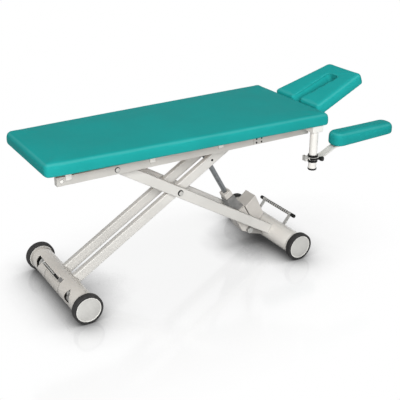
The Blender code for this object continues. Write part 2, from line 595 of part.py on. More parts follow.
def make_top_frame(finishes):
    body("top_frame", TOP_PIN, "outer_arms")
    white = finishes["white"]
    for side, sign in SIDES:
        ends = sorted((sign * RAIL_OUTER_Y, sign * (RAIL_OUTER_Y - RAIL_WIDTH)))
        pocket = sorted((sign * (RAIL_OUTER_Y - RAIL_WALL), sign * (RAIL_OUTER_Y - RAIL_WIDTH - 0.01)))
        rail = add(f"rail_{side}", block((along(RAIL_START), ends[0], RAIL_LOW), (along(RAIL_END), ends[1], RAIL_TOP)),
                   "top_frame", white)
        cut(rail, block((along(RAIL_START) + RAIL_WALL, pocket[0], RAIL_LOW + RAIL_WALL),
                        (along(RAIL_END) - RAIL_WALL, pocket[1], RAIL_TOP - RAIL_WALL)))
        face = sorted((sign * (RAIL_OUTER_Y - 0.001), sign * (RAIL_OUTER_Y + 0.004)))
        unite(rail, block((along(1.150), face[0], RAIL_LOW + 0.002), (along(1.230), face[1], RAIL_TOP - 0.002)))
        for place in CROSSBAR_PLACES.values():
            unite(rail, block((along(place) - 0.012, face[0], RAIL_LOW + 0.019), (along(place) + 0.012, face[1], RAIL_TOP)))
        cut(rail, shifted(rod(TOP_PIN_RADIUS + GAP, -0.2, 0.2), TOP_PIN))
    middle = (RAIL_TOP + GAP + BAR_TOP) / 2
    half = (BAR_TOP - RAIL_TOP - GAP) / 2
    for name, place in CROSSBAR_PLACES.items():
        bar = box_tube(0.015, half, 0.002, 0.004, -CROSSBAR_HALF, CROSSBAR_HALF, "Y")
        add(f"crossbar_{name}", bar, "top_frame", white, (along(place), 0, middle))
    head_bar = box_tube(HEAD_BAR_WIDTH / 2, half, 0.002, 0.004, -0.238, 0.238, "Y")
    bar = add("head_crossbar", head_bar, "top_frame", white, (along(HEAD_BAR_IN), 0, middle))
    pin_x, pin_z = HEAD_HINGE_IN - HEAD_BAR_IN, HEAD_HINGE_Z - middle
    lug = [(0.028, -0.016), (pin_x, pin_z - 0.011)] + arc((pin_x, pin_z), 0.011, -70, 70, 6) + [
        (pin_x, pin_z + 0.011), (0.028, 0.016)]
    for side, sign in SIDES:
        middle_y = sign * HINGE_LUG_Y
        unite(bar, prism(lug, middle_y - HINGE_LUG_THICK / 2, middle_y + HINGE_LUG_THICK / 2))
    cut(bar, shifted(rod(HINGE_ROD_RADIUS + GAP, -0.2, 0.2, 16), (pin_x, 0, pin_z)))
    middle_x = (along(PAD_LENGTH / 2), 0, 0)
    board = prism(couch_outline(BOARD_INSET, 0.030, 0.020), BAR_TOP + GAP, BOARD_TOP, "Z")
    add("pad_board", board, "top_frame", finishes["wood"], middle_x)
    crown = 0.003
    pad = add("main_pad", cushion(couch_outline(0.0, 0.050, 0.046), PAD_BOTTOM, PAD_TOP - crown, 0.028, crown, 0.014),
              "top_frame", finishes["vinyl"], middle_x)
    pocket = couch_outline(BOARD_INSET - GAP, 0.030, 0.020)
    cut(pad, prism(pocket, PAD_BOTTOM - 0.01, BOARD_TOP + GAP, "Z"))


def head_outline(inset):
    """Tapered head rest with a breathing slot open towards the table."""
    start, end = HEAD_START + inset, HEAD_START + HEAD_LENGTH - inset
    base, tip = HEAD_BASE_HALF - inset, HEAD_TIP_HALF - inset
    slot_base, slot_tip = SLOT_BASE_HALF + inset, SLOT_TIP_HALF + inset
    slot_end = HEAD_START + SLOT_LENGTH + inset
    round_end = 0.6 * slot_tip
    return filleted([
        (start, -slot_base, 0.022), (start, -base, 0.024), (end, -tip, 0.034), (end, tip, 0.034),
        (start, base, 0.024), (start, slot_base, 0.022), (slot_end, slot_tip, round_end),
        (slot_end, -slot_tip, round_end),
    ])


def make_headrest(finishes):
    body("headrest", HEAD_HINGE, "top_frame")
    here = {"body_name": "headrest", "at": HEAD_HINGE, "tilt": HEAD_TILT}
    half = HEAD_PLATE_HALF
    frame = add("headrest_frame", rod(HINGE_ROD_RADIUS, -0.126, 0.126, 16), finish=finishes["white"], **here)
    for side, sign in SIDES:
        faces = sorted((sign * 0.096, sign * 0.1263))
        unite(frame, block((-0.002, faces[0], -half), (0.270, faces[1], half)))
    board = prism(head_outline(0.018), half + GAP, HEAD_PAD_LIFT - GAP, "Z")
    add("headrest_board", board, finish=finishes["wood"], **here)
    cover = cushion(head_outline(0.0), HEAD_RIM_LIFT, HEAD_PAD_LIFT + HEAD_THICK, 0.016, 0.0, 0.0)
    pad = add("headrest_pad", cover, finish=finishes["vinyl"], **here)
    cut(pad, prism(head_outline(0.018 - GAP), 0.0, HEAD_PAD_LIFT, "Z"))


def arm_path():
    """Middle line of the flat arm bar in XZ: level at the clamp, an S-bend up, then along the bolster's underside."""
    low, high = (CLAMP_LOW + CLAMP_HIGH) / 2, BOLSTER_LOW - GAP - 0.004
    bend_start, bend_end, end = 0.040, 0.150, 0.280
    points = [(0.028, low), (bend_start, low)]
    for step in range(1, 11):
        t = step / 10
        points.append((bend_start + (bend_end - bend_start) * t, low + (high - low) * (3 * t * t - 2 * t ** 3)))
    points.append((end, high))
    bolster = BOLSTER_START - POST_IN
    return [(x, z + BOLSTER_RISE * max(0.0, x - bolster) / BOLSTER_LENGTH) for x, z in points]


def strip(path, thickness):
    """Outline of a bar of this thickness along a path."""
    upper, lower = [], []
    for i, (x, z) in enumerate(path):
        before, after = Vector(path[max(i - 1, 0)]), Vector(path[min(i + 1, len(path) - 1)])
        run = (after - before).normalized() * (thickness / 2)
        upper.append((x - run.y, z + run.x))
        lower.append((x + run.y, z - run.x))
    return lower + upper[::-1]


def make_arm_rest(side, sign, finishes):
    white, black = finishes["white"], finishes["black"]
    height = CLAMP_HIGH - CLAMP_LOW
    base = post_point(sign, 0)
    bar_y = sorted((sign * 0.2383, sign * 0.301))
    tube = turned([(POST_RADIUS - 0.003, POST_FOOT), (POST_RADIUS, POST_FOOT), (POST_RADIUS, RAIL_TOP + 0.004),
                   (POST_RADIUS - 0.003, RAIL_TOP + 0.004)], 24, "Z")
    post = add(f"post_{side}", tube, "top_frame", white, base)
    offset = sign * POST_Y
    unite(post, block((-0.033, bar_y[0] - offset, RAIL_TOP + GAP), (0.033, bar_y[1] - offset, BAR_TOP), 0.003))
    cap = turned([(0, CAP_FOOT), (0.021, CAP_FOOT), (0.0238, CAP_FOOT + 0.003), (0.0238, POST_FOOT - GAP),
                  (0.0165, POST_FOOT - GAP), (0.0165, POST_FOOT + 0.012), (0, POST_FOOT + 0.012)], 20, "Z")
    add(f"post_cap_{side}", cap, "top_frame", black, base)
    slide_body, swing_body, knob_body = f"arm_sleeve_{side}", f"arm_rest_{side}", f"arm_knob_{side}"
    body(slide_body, post_point(sign, CLAMP_LOW), "top_frame")
    inner, outer = POST_RADIUS + GAP, POST_RADIUS + 0.0028
    profile = [
        (inner, CLAMP_LOW - LOW_COLLAR), (COLLAR_RADIUS, CLAMP_LOW - LOW_COLLAR),
        (COLLAR_RADIUS, CLAMP_LOW - GAP), (outer, CLAMP_LOW - GAP), (outer, CLAMP_HIGH + GAP),
        (COLLAR_RADIUS, CLAMP_HIGH + GAP), (COLLAR_RADIUS, CLAMP_HIGH + HIGH_COLLAR),
        (inner, CLAMP_HIGH + HIGH_COLLAR),
    ]
    add(f"arm_sleeve_{side}", turned(profile, 24, "Z"), slide_body, black, base)
    body(swing_body, post_point(sign, CLAMP_LOW), slide_body)
    ring = turned([(outer + GAP, CLAMP_LOW), (0.033, CLAMP_LOW), (0.033, CLAMP_HIGH), (outer + GAP, CLAMP_HIGH)], 24, "Z")
    clamp = add(f"arm_clamp_{side}", ring, swing_body, white, base)
    unite(clamp, block((-0.058, -0.015, CLAMP_LOW + 0.0005), (-0.028, 0.015, CLAMP_HIGH - 0.0005), 0.003))
    unite(clamp, prism(strip(arm_path(), ARM_BAR_THICK), -ARM_BAR_WIDTH / 2, ARM_BAR_WIDTH / 2))
    turn = Vector((math.cos(KNOB_TURN), sign * math.sin(KNOB_TURN), 0))
    knob_at = base + Vector((0, 0, CLAMP_LOW + height / 2))
    stud_hole = rod(0.0043, 0.0, 0.06, 16, "X")
    bmesh.ops.rotate(stud_hole, verts=stud_hole.verts, cent=(0, 0, 0), matrix=turn_about_z(sign))
    cut(clamp, shifted(stud_hole, (0, 0, CLAMP_LOW + height / 2)))
    body(knob_body, knob_at + turn * 0.045, swing_body)
    knob = turned([(0, 0.0245), (0.004, 0.0245), (0.004, 0.0345), (0.009, 0.0345), (0.0135, 0.042),
                   (0.0135, 0.056), (0.011, 0.060), (0, 0.061)], 16, "X")
    bmesh.ops.rotate(knob, verts=knob.verts, cent=(0, 0, 0), matrix=turn_about_z(sign))
    add(f"arm_knob_{side}", knob, knob_body, black, knob_at)
    half_x = BOLSTER_LENGTH / 2
    outline = pad_outline(half_x, BOLSTER_WIDTH / 2, 0.045, 0.002, 5, 3)
    bolster = cushion(outline, BOLSTER_LOW, BOLSTER_HIGH - 0.004, 0.024, 0.004, 0.014)
    for vert in bolster.verts:
        if vert.co.z < BOLSTER_LOW + 0.01:
            vert.co.z += BOLSTER_RISE * (vert.co.x + half_x) / BOLSTER_LENGTH
    add(f"arm_pad_{side}", bolster, swing_body, finishes["vinyl"],
        (along(BOLSTER_START + half_x), sign * POST_Y, 0))


def turn_about_z(sign):
    return Matrix.Rotation(sign * KNOB_TURN, 3, "Z")


def main():
    for obj in list(bpy.data.objects):
        bpy.data.objects.remove(obj, do_unlink=True)
    finishes = {
        "white": paint("powder_coat", "#e6e4df", 0.45),
        "steel": paint("ground_steel", "#9a9c9e", 0.25, 1.0),
        "rubber": paint("tyre_rubber", "#363636", 0.75),
        "black": paint("black_plastic", "#1c1c1c", 0.5),
        "grey": paint("grey_casting", "#7a7a79", 0.5),
        "housing": paint("housing_plastic", "#b9b4ae", 0.5),
        "wood": paint("plywood", "#b48a58", 0.7),
        "vinyl": paint("vinyl_cover", "#2fa5a1", 0.5),
    }
    make_base(finishes)
    make_inner_arms(finishes)
    make_castors(finishes)
    make_outer_arms(finishes)
    make_pedal(finishes)
    make_actuator(finishes)
    make_top_frame(finishes)
    make_headrest(finishes)
    for side, sign in SIDES:
        make_arm_rest(side, sign, finishes)


main()
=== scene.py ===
"""Looks of an electric treatment table: upholstery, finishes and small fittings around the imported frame.

Metres, in the frame of the CAD: +X to the head end, +Z up, -Y to the near side.
"""

import json
import math

import bmesh
import bpy
from mathutils import Matrix, Quaternion, Vector

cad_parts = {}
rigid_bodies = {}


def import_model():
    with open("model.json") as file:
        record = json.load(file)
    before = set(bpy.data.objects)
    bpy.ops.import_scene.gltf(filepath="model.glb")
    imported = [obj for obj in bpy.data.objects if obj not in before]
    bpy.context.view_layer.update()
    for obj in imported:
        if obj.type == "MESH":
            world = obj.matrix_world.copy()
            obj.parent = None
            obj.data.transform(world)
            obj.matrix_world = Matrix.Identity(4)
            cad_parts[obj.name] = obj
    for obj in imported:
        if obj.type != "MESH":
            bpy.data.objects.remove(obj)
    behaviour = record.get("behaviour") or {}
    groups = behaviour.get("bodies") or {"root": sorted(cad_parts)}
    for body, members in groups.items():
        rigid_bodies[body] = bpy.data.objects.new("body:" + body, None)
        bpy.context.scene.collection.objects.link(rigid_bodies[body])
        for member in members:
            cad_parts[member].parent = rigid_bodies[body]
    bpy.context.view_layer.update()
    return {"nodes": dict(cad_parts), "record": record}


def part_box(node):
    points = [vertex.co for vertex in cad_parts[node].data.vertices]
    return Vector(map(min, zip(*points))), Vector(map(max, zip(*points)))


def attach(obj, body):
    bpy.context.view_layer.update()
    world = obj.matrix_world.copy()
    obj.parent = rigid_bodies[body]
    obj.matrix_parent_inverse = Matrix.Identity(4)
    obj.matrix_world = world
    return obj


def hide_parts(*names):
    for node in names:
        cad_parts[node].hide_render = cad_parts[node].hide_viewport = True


Y, Z = Vector((0, 1, 0)), Vector((0, 0, 1))
SIDES = (("near", -Y), ("far", Y))

# Places of the frame that the fittings sit on, as in the part's source
FOOT_AXIS = Vector((-0.86140, 0, 0.07550))
HEAD_AXIS = Vector((0.38140, 0, 0.07550))
CROSS_PIN = Vector((-0.24000, 0, 0.45407))
TOP_PIN = Vector((-0.62089, 0, 0.68610))
LIFT_PIN = Vector((-0.03216, 0, 0.58068))
ACTUATOR_PIN = Vector((0.23798, 0, 0.09929))
LIFT_ANGLE = math.radians(31.35)
ARM_REACH = 1.2036  # roller axis to the arm's open end
INNER_ARM_Y, OUTER_ARM_Y, ARM_HALF = 0.059, 0.093, 0.015
ACTUATOR_ANGLE = math.radians(119.3)
PEDAL_ANGLE, PEDAL_RADIUS = math.radians(50.5), 0.126
PEDAL_BAR = HEAD_AXIS + PEDAL_RADIUS * Vector((math.cos(PEDAL_ANGLE), 0, math.sin(PEDAL_ANGLE)))
LEVER_ANGLE, LEVER_RADIUS = math.radians(48.5), 0.0555
RECESS_ANGLE, RECESS_RADIUS = math.radians(52), 0.0575
CASTOR_OFFSET = Vector((-0.034, 0, 0.002))
COVER_NEAR_Y, COVER_FAR_Y = -0.084, 0.092
HEAD_HINGE = Vector((0.5484, 0, 0.735))
HEAD_TILT = math.radians(19.66)
RAIL_FACE_Y, RAIL_MIDDLE_Z = 0.185, 0.6861
GUIDE_PLATE_Y = 0.189
CROSSBARS_X, CROSSBAR_END_Y, CROSSBAR_Z = (-0.8646, -0.4376, -0.0526), 0.1883, 0.7170
POST = Vector((0.4724, 0.270, 0.56125))
KNOB_TURN = math.radians(56)

# Wheels
HUB_FACE_Y, HUB_RADIUS, HUB_DOME = 0.3195, 0.0634, 0.0076
HUB_BORE, HUB_BORE_END, HUB_BACK, HUB_BEAD = 0.0103, -0.0080, -0.0285, 0.0036
TYRE_RADIUS, TYRE_INNER, TYRE_OUTER, TYRE_SHOULDER = 0.0755, 0.2910, 0.3235, 0.0042
# A pale ring on each wheel disc's rim: painted highlight.
RIM_HIGHLIGHT_RING, RIM_HIGHLIGHT_OUT = (HUB_RADIUS - 0.0034, HUB_RADIUS - 0.0002, 0.0014), 0.0014

# Fittings: screws and caps by (radius, height), washers by (inner radius, outer radius, thickness),
# slabs by size and edge radius
GUIDE_SCREW, GUIDE_SCREWS_X, GUIDE_SCREWS_DX, GUIDE_SCREWS_DZ = (0.0050, 0.0024), 0.1790, 0.0155, 0.0100
PIVOT_CAP, PIVOT_CAP_Y = (0.0102, 0.0030), 0.1893
PIVOT_WASHER, PIVOT_WASHER_Y = (0.0105, 0.0138, 0.0018), RAIL_FACE_Y + 0.0001
# The rail plug's grey ring is painted shade round the plug.
RAIL_PLUG, RAIL_PLUG_SHADE_RING, RAIL_PLUG_X = (0.0092, 0.0026), (0.0090, 0.0108, 0.0008), -0.8971
CROSSBAR_PLUG, CROSSBAR_PLUG_EDGE = (0.0284, 0.0052, 0.0545), 0.0012
ARM_PLUG, ARM_PLUG_EDGE = (0.0040, 0.0292, 0.0542), 0.0018
CROSS_CAP, CROSS_CAP_Y = (0.0123, 0.0030), 0.1150
CROSS_WASHER, CROSS_WASHER_Y = (0.0122, 0.0165, 0.0016), 0.1081
LIFT_BOLT = (0.0065, 0.0034)
# Black strips along the foot tube cover's seams: painted shade of their gaps.
SEAM_SHADE_WIDTH, SEAM_SHADE_LOW, SEAM_SHADE_HIGH = 0.0016, 0.0585, 0.0602
SEAM_SHADE_NEAR_START, SEAM_SHADE_FAR_START, SEAM_SHADE_END = math.radians(66), math.radians(35), math.radians(-46)
# A grey plate in the foot tube's finger recess: painted shade of the recess.
RECESS_SHADE_PLATE, RECESS_SHADE_PLATE_EDGE, RECESS_SHADE_PLATE_Y = (0.0320, 0.0225, 0.0012), 0.0005, -0.0660
LEVER_GRIP_Y = 0.0065
CASTOR_PLATE, CASTOR_PLATE_Y = (0.0112, 0.0525, 0.0012), 0.1962
CASTOR_CAP, CASTOR_CAP_Y = (0.0054, 0.0022), 0.1918
PEDAL_CAP_Y = 0.1330
KNOB_LOBES, KNOB_WAIST, KNOB_NECK_TOP = 5, 0.16, 0.0410
BAND_INNER, BAND_OUTER, BAND_HALF, BAND_CHAMFER = 0.0325, 0.0336, 0.0057, 0.0003
CLAMP_EAR, CLAMP_EAR_EDGE, CLAMP_EAR_AT = (0.0130, 0.0270, 0.0280), 0.0020, Vector((-0.0530, 0, 0.0070))
PINCH_SCREW, PINCH_SCREW_X, PINCH_SCREW_Y = (0.0046, 0.0030), -0.0410, 0.0150
CLAMP_BOSS, CLAMP_BOSS_OUT = (0.0043, 0.0062, 0.0036), 0.0306
MOTOR_GASKET, MOTOR_GASKET_EDGE, MOTOR_GASKET_AT = (0.1230, 0.0816, 0.0034), 0.0006, (0.0860, 0, -0.0425)
MOTOR_SCREW, MOTOR_SCREWS_X, MOTOR_SCREWS_Y = (0.0040, 0.0026), (0.040, 0.148), (-0.036, 0.031)
MOTOR_FACE_X, MOTOR_FACE_Z, MOTOR_FACE_SLOPE = 0.027, -0.1198, -0.0511  # its lower face, in the drive's frame
MOTOR_FACE_OUT = (-0.051, 0, -1)
PIN_CLIP, PIN_CLIP_Y = (0.0132, 0.0170, 0.0020), 0.0540
HINGE_WASHER, HINGE_CAP, HINGE_END_Y = (0.0002, 0.0105, 0.0016), (0.0075, 0.0045), 0.1264

# Upholstery: pads by their half widths, with a rounded outline, a soft top rim and a tight bottom rim
PAD_FOOT_HALF, PAD_HEAD_HALF, PAD_BOW = 0.270, 0.326, 0.004  # wider at the head, with slightly swelling sides
PAD_INSET, PAD_CORNER, PAD_TOP_EDGE, PAD_BOTTOM_EDGE = 0.0015, 0.026, 0.026, 0.012
PAD_CROWN, PAD_CROWN_DEPTH = 0.0015, 0.020  # the top's slight arch, and how deep below the top it reaches
PAD_HEADROOM, PAD_SWELL, PAD_VOXEL = 0.003, 0.003, 0.010
BOARD_INSET, BOARD_TOP = 0.030, 0.757
HEAD_START, HEAD_LENGTH, HEAD_LOW, HEAD_HIGH = 0.020, 0.372, 0.0065, 0.0691
HEAD_BASE_HALF, HEAD_TIP_HALF = 0.195, 0.141
HEAD_BASE_CORNER, HEAD_TIP_CORNER, HEAD_TOP_EDGE, HEAD_BOTTOM_EDGE = 0.022, 0.026, 0.019, 0.006
HEAD_HEADROOM, HEAD_SWELL = 0.002, 0.002
SLOT_BASE_HALF, SLOT_TIP_HALF, SLOT_LENGTH = 0.0225, 0.0425, 0.280
SLOT_BASE_CORNER, SLOT_TIP_CORNER = 0.015, 0.022
HEAD_BOARD_INSET, HEAD_BOARD_TOP = 0.018, 0.0191
ARM_PAD_CORNER, ARM_PAD_TOP_EDGE, ARM_PAD_BOTTOM_EDGE = 0.046, 0.028, 0.012
ARM_PAD_HEADROOM, ARM_PAD_SWELL = 0.002, 0.003
ARM_PAD_RISE, ARM_PAD_RISE_DEPTH = 0.014, 0.050  # the underside's rise to the tip, and its height
SMALL_PAD_INSET, SMALL_PAD_VOXEL = 0.002, 0.005
UNDERSIDE_DEPTH, BOARD_GAP = 0.004, 0.0006
COVER_PRESSURE, COVER_HELD, COVER_FRAMES = 4.0, 0.008, 20  # a cover's lowest band is held

# Surfaces
FRAME_SHARP, PIECE_SHARP = math.radians(48), math.radians(40)  # steeper edges stay sharp
CORNER_SHADE_REACH, CORNER_SHADE_START, CORNER_SHADE_FULL = 0.05, 0.66, 0.08  # painted shade in corners and between parts: how far it reaches, and the sky shares where it starts and where it is full
BORE_SHADE_START, BORE_SHADE_FULL = 0.0576, 0.0564  # radii between which a tube's colour turns to near black painted shade in its bore
RIB_SIDE, RIB_GROOVE = 0.0096, 0.0088  # radii between which the foot bar turns dark
ROLL_HIGHLIGHT_CURVE = ((0.45, 0.0), (0.78, 0.14), (0.93, 0.0))  # painted highlight: paleness of a pad's roll by how far up it faces

# Camera of the photograph
CAMERA_AT = Vector((-2.0586, -3.2920, 2.0635))
CAMERA_YAW, CAMERA_PITCH, CAMERA_ROLL = math.radians(31.2715), math.radians(24.2015), math.radians(0.19)
CAMERA_LENS, CAMERA_SENSOR = 71.039, 36.0

# Light: a large round softbox at the front left, a weaker light overhead and a faint even room
SOFTBOX_AT, SOFTBOX_AIM = Vector((-2.85, -5.85, 3.45)), Vector((-0.2, 0, 0.6))
SOFTBOX_POWER, SOFTBOX_WIDTH = 460, 3.4
OVERHEAD_AT, OVERHEAD_AIM = Vector((0, 0, 4)), Vector((0, 0, 0))
OVERHEAD_STRENGTH, OVERHEAD_SOFTNESS = 1.08, math.radians(45)
AMBIENT = 0.05

# Floor
FLOOR_HALF, FLOOR_DROP = 30, 0.0005
FLOOR_SHADE_REACH = 0.24  # how far a contact shadow spreads
FLOOR_CLEAR, FLOOR_SHADE_DEPTH = 0.955, 1.9  # sky share of clear floor, and how fast the shade deepens
FLOOR_VEIL, FLOOR_VEIL_REACH = 0.92, 0.95  # faint shade of the whole table, and how far up it looks
FLOOR_VEIL_FULL, FLOOR_VEIL_CLEAR = 0.79, 0.885  # sky shares where that shade is full and where it ends
FLOOR_GLOSS, FLOOR_GLOSS_NEAR, FLOOR_GLOSS_FAR = 0.07, -0.55, -1.1  # its mirror image, and where that fades

# Finish of each material slot, and of the nodes that have their own
SLOT_FINISHES = {
    "powder_coat": "frame", "wheel_plastic": "cap", "steel": "steel", "tyre": "rubber", "vinyl": "vinyl",
    "black_plastic": "black", "grey_casting": "casting", "housing_plastic": "housing", "plywood": "plywood",
}
NODE_FINISHES = {
    "rail_near": "rail", "rail_far": "rail", "foot_tube": "foot_tube", "head_tube": "head_tube",
    "foot_cover": "cover", "post_near": "post", "post_far": "post", "lift_rod": "rod",
    "castor_wheel_near": "castor", "castor_wheel_far": "castor", "castor_fork_near": "zinc",
    "castor_fork_far": "zinc", "foot_lever": "zinc", "actuator_pin": "zinc", "pedal_bar": "grip",
    "pedal_lever_near": "zinc", "pedal_lever_far": "zinc", "actuator_bracket": "bracket",
}


# Finishes


def linear(colour):
    """Linear RGBA from an sRGB hex value."""
    channels = [int(colour[i:i + 2], 16) / 255 for i in (1, 3, 5)]
    return (*[c / 12.92 if c <= 0.04045 else ((c + 0.055) / 1.055) ** 2.4 for c in channels], 1)


def add_node(tree, kind, settings=None, links=None):
    """Adds a node, sets its values or properties by name, and links sockets into its inputs."""
    node = tree.nodes.new(kind)
    for name, value in (settings or {}).items():
        if name in node.inputs:
            node.inputs[name].default_value = value
        else:
            setattr(node, name, value)
    for name, socket in (links or {}).items():
        tree.links.new(socket, node.inputs[name])
    return node


def per_metre(millimetres):
    """Texture scale that gives a pattern this spacing."""
    return 1000 / millimetres


def new_material(name, values):
    """A Principled material with these shader values."""
    material = bpy.data.materials.new(name)
    material.use_nodes = True
    tree = material.node_tree
    shader = tree.nodes["Principled BSDF"]
    for socket, value in values.items():
        shader.inputs[socket].default_value = value
    place = add_node(tree, "ShaderNodeTexCoord").outputs["Object"]
    return material, tree, shader, place


def run_patterns(tree, shader, colour, roughness, bump, stops=(0.35, 0.65)):
    """Lets patterns run the shader, and returns its colour.

    colour is (pattern, dark hex, light hex), with the pattern's values at those two in stops. roughness is
    (pattern, low, high) and bump is (pattern, strength, depth in mm)."""
    pattern, *shades = colour
    ramp = add_node(tree, "ShaderNodeValToRGB", links={"Fac": pattern})
    for stop, position, shade in zip(ramp.color_ramp.elements, stops, shades):
        stop.position = position
        stop.color = linear(shade)
    pattern, low, high = roughness
    sheen = add_node(tree, "ShaderNodeMapRange", {"To Min": low, "To Max": high}, {"Value": pattern})
    pattern, strength, depth = bump
    relief = add_node(tree, "ShaderNodeBump", {"Strength": strength, "Distance": depth / 1000},
                      {"Height": pattern})
    tree.links.new(ramp.outputs["Color"], shader.inputs["Base Color"])
    tree.links.new(sheen.outputs["Result"], shader.inputs["Roughness"])
    tree.links.new(relief.outputs["Normal"], shader.inputs["Normal"])
    return ramp.outputs["Color"]


def tint_where(tree, shader, colour, measure, start, end, hue):
    """Turns the base colour to a hex value as a measure goes from start to end."""
    mask = add_node(tree, "ShaderNodeMapRange", {"From Min": start, "From Max": end}, {"Value": measure})
    blend = add_node(tree, "ShaderNodeMix", {"data_type": "RGBA", "B": linear(hue)},
                     {"Factor": mask.outputs["Result"], "A": colour})
    tree.links.new(blend.outputs["Result"], shader.inputs["Base Color"])
    return blend.outputs["Result"]


def distance_from(tree, place, axis):
    """Distance from a line along Y."""
    flat = add_node(tree, "ShaderNodeMapping", {"Location": (-axis.x, 0, -axis.z), "Scale": (1, 0, 1)},
                    {"Vector": place})
    length = add_node(tree, "ShaderNodeVectorMath", {"operation": "LENGTH"},
                      {"Vector": flat.outputs["Vector"]})
    return length.outputs["Value"]


def powder_coat(name, dark, light, roughness=0.42, shaded_bore_axis=None, gloss=0.0):
    """Polyester powder coat on steel: satin, with an orange peel, a faint uneven tone and painted shade in
    its corners.

    Real peel is 2 to 3 mm across. It is drawn at 6 mm, so that it shows. The axis argument for the bore marks
    a tube whose bore is painted near black, as painted shade. gloss is a smoother top coat."""
    values = {"IOR": 1.5, "Roughness": roughness, "Coat Weight": gloss, "Coat Roughness": 0.12}
    material, tree, shader, place = new_material(name, values)
    tone = add_node(tree, "ShaderNodeTexNoise", {"Scale": per_metre(140), "Detail": 3.0}, {"Vector": place})
    peel = add_node(tree, "ShaderNodeTexNoise", {"Scale": per_metre(6), "Detail": 1.0}, {"Vector": place})
    colour = run_patterns(tree, shader, colour=(tone.outputs["Fac"], dark, light),
                          roughness=(tone.outputs["Fac"], roughness - 0.06, roughness + 0.08),
                          bump=(peel.outputs["Fac"], 0.08, 0.03))
    # Painted shade: the coat turns dark grey where little sky reaches, in corners and between parts.
    corners = add_node(tree, "ShaderNodeAmbientOcclusion", {"samples": 8, "Distance": CORNER_SHADE_REACH})
    colour = tint_where(tree, shader, colour, corners.outputs["AO"], CORNER_SHADE_START, CORNER_SHADE_FULL, "#68645f")
    # Painted shade: the bore inside the tube is painted near black.
    if shaded_bore_axis is not None:
        radius = distance_from(tree, place, shaded_bore_axis)
        tint_where(tree, shader, colour, radius, BORE_SHADE_START, BORE_SHADE_FULL, "#1b1a19")
    return material


def fine_grained(name, dark, light, roughness, gloss=0.5):
    """Moulded plastic, or zinc plate under clear lacquer: an even colour with a fine dull grain.

    A spark-eroded mould's grain is far finer. It is drawn at 1.6 mm, so that it shows."""
    values = {"IOR": 1.49, "Roughness": roughness, "Specular IOR Level": gloss}
    material, tree, shader, place = new_material(name, values)
    tone = add_node(tree, "ShaderNodeTexNoise", {"Scale": per_metre(60), "Detail": 2.0}, {"Vector": place})
    grain = add_node(tree, "ShaderNodeTexNoise", {"Scale": per_metre(1.6), "Detail": 2.0}, {"Vector": place})
    run_patterns(tree, shader, colour=(tone.outputs["Fac"], dark, light),
                 roughness=(grain.outputs["Fac"], roughness - 0.05, roughness + 0.07),
                 bump=(grain.outputs["Fac"], 0.3, 0.05))
    return material


def tyre_rubber():
    """Grey-black solid rubber tyre: matt, dusty on the tread, with a fine grain from the mould."""
    values = {"IOR": 1.52, "Roughness": 0.7, "Specular IOR Level": 0.2}
    material, tree, shader, place = new_material("tyre_rubber", values)
    dust = add_node(tree, "ShaderNodeTexNoise", {"Scale": per_metre(25), "Detail": 6.0}, {"Vector": place})
    grain = add_node(tree, "ShaderNodeTexNoise", {"Scale": per_metre(1.8), "Detail": 3.0}, {"Vector": place})
    run_patterns(tree, shader, colour=(dust.outputs["Fac"], "#2b2b2b", "#393838"),
                 roughness=(dust.outputs["Fac"], 0.55, 0.82), bump=(grain.outputs["Fac"], 0.4, 0.12))
    return material


def ground_steel(name, turn, dark="#84878a", light="#a9abad"):
    """Centreless-ground bar: fine lines round the bar. turn brings the bar's axis onto the pattern's X.

    Real grinding lines are far below 1 mm apart. They are drawn at 1.5 mm, so that they show."""
    material, tree, shader, place = new_material(name, {"Metallic": 1.0, "Roughness": 0.3})
    squeeze = add_node(tree, "ShaderNodeMapping",
                       {"vector_type": "TEXTURE", "Rotation": (0, -turn, 0), "Scale": (1, 20, 20)},
                       {"Vector": place})
    lines = add_node(tree, "ShaderNodeTexNoise", {"Scale": per_metre(1.5), "Detail": 2.0},
                     {"Vector": squeeze.outputs["Vector"]})
    run_patterns(tree, shader, colour=(lines.outputs["Fac"], dark, light),
                 roughness=(lines.outputs["Fac"], 0.22, 0.42), bump=(lines.outputs["Fac"], 0.15, 0.03),
                 stops=(0.3, 0.7))
    return material


def ribbed_bar():
    """Ribbed grey grip of the foot bar: pale on the ribs, and dark in the grooves."""
    material, tree, shader, place = new_material("ribbed_grip", {"IOR": 1.5, "Roughness": 0.5})
    scuffs = add_node(tree, "ShaderNodeTexNoise", {"Scale": per_metre(12), "Detail": 4.0}, {"Vector": place})
    colour = run_patterns(tree, shader, colour=(scuffs.outputs["Fac"], "#b9b8b5", "#cfcecb"),
                          roughness=(scuffs.outputs["Fac"], 0.4, 0.62),
                          bump=(scuffs.outputs["Fac"], 0.2, 0.1))
    radius = distance_from(tree, place, PEDAL_BAR)
    tint_where(tree, shader, colour, radius, RIB_SIDE, RIB_GROOVE, "#2b2a29")
    return material


def cast_aluminium():
    """Painted die casting: grey, with a slightly pebbled skin."""
    material, tree, shader, place = new_material("painted_casting", {"IOR": 1.5, "Roughness": 0.5})
    tone = add_node(tree, "ShaderNodeTexNoise", {"Scale": per_metre(30), "Detail": 3.0}, {"Vector": place})
    pebble = add_node(tree, "ShaderNodeTexVoronoi", {"Scale": per_metre(2.4)}, {"Vector": place})
    run_patterns(tree, shader, colour=(tone.outputs["Fac"], "#777776", "#8a8988"),
                 roughness=(tone.outputs["Fac"], 0.42, 0.6), bump=(pebble.outputs["Distance"], 0.3, 0.1))
    return material


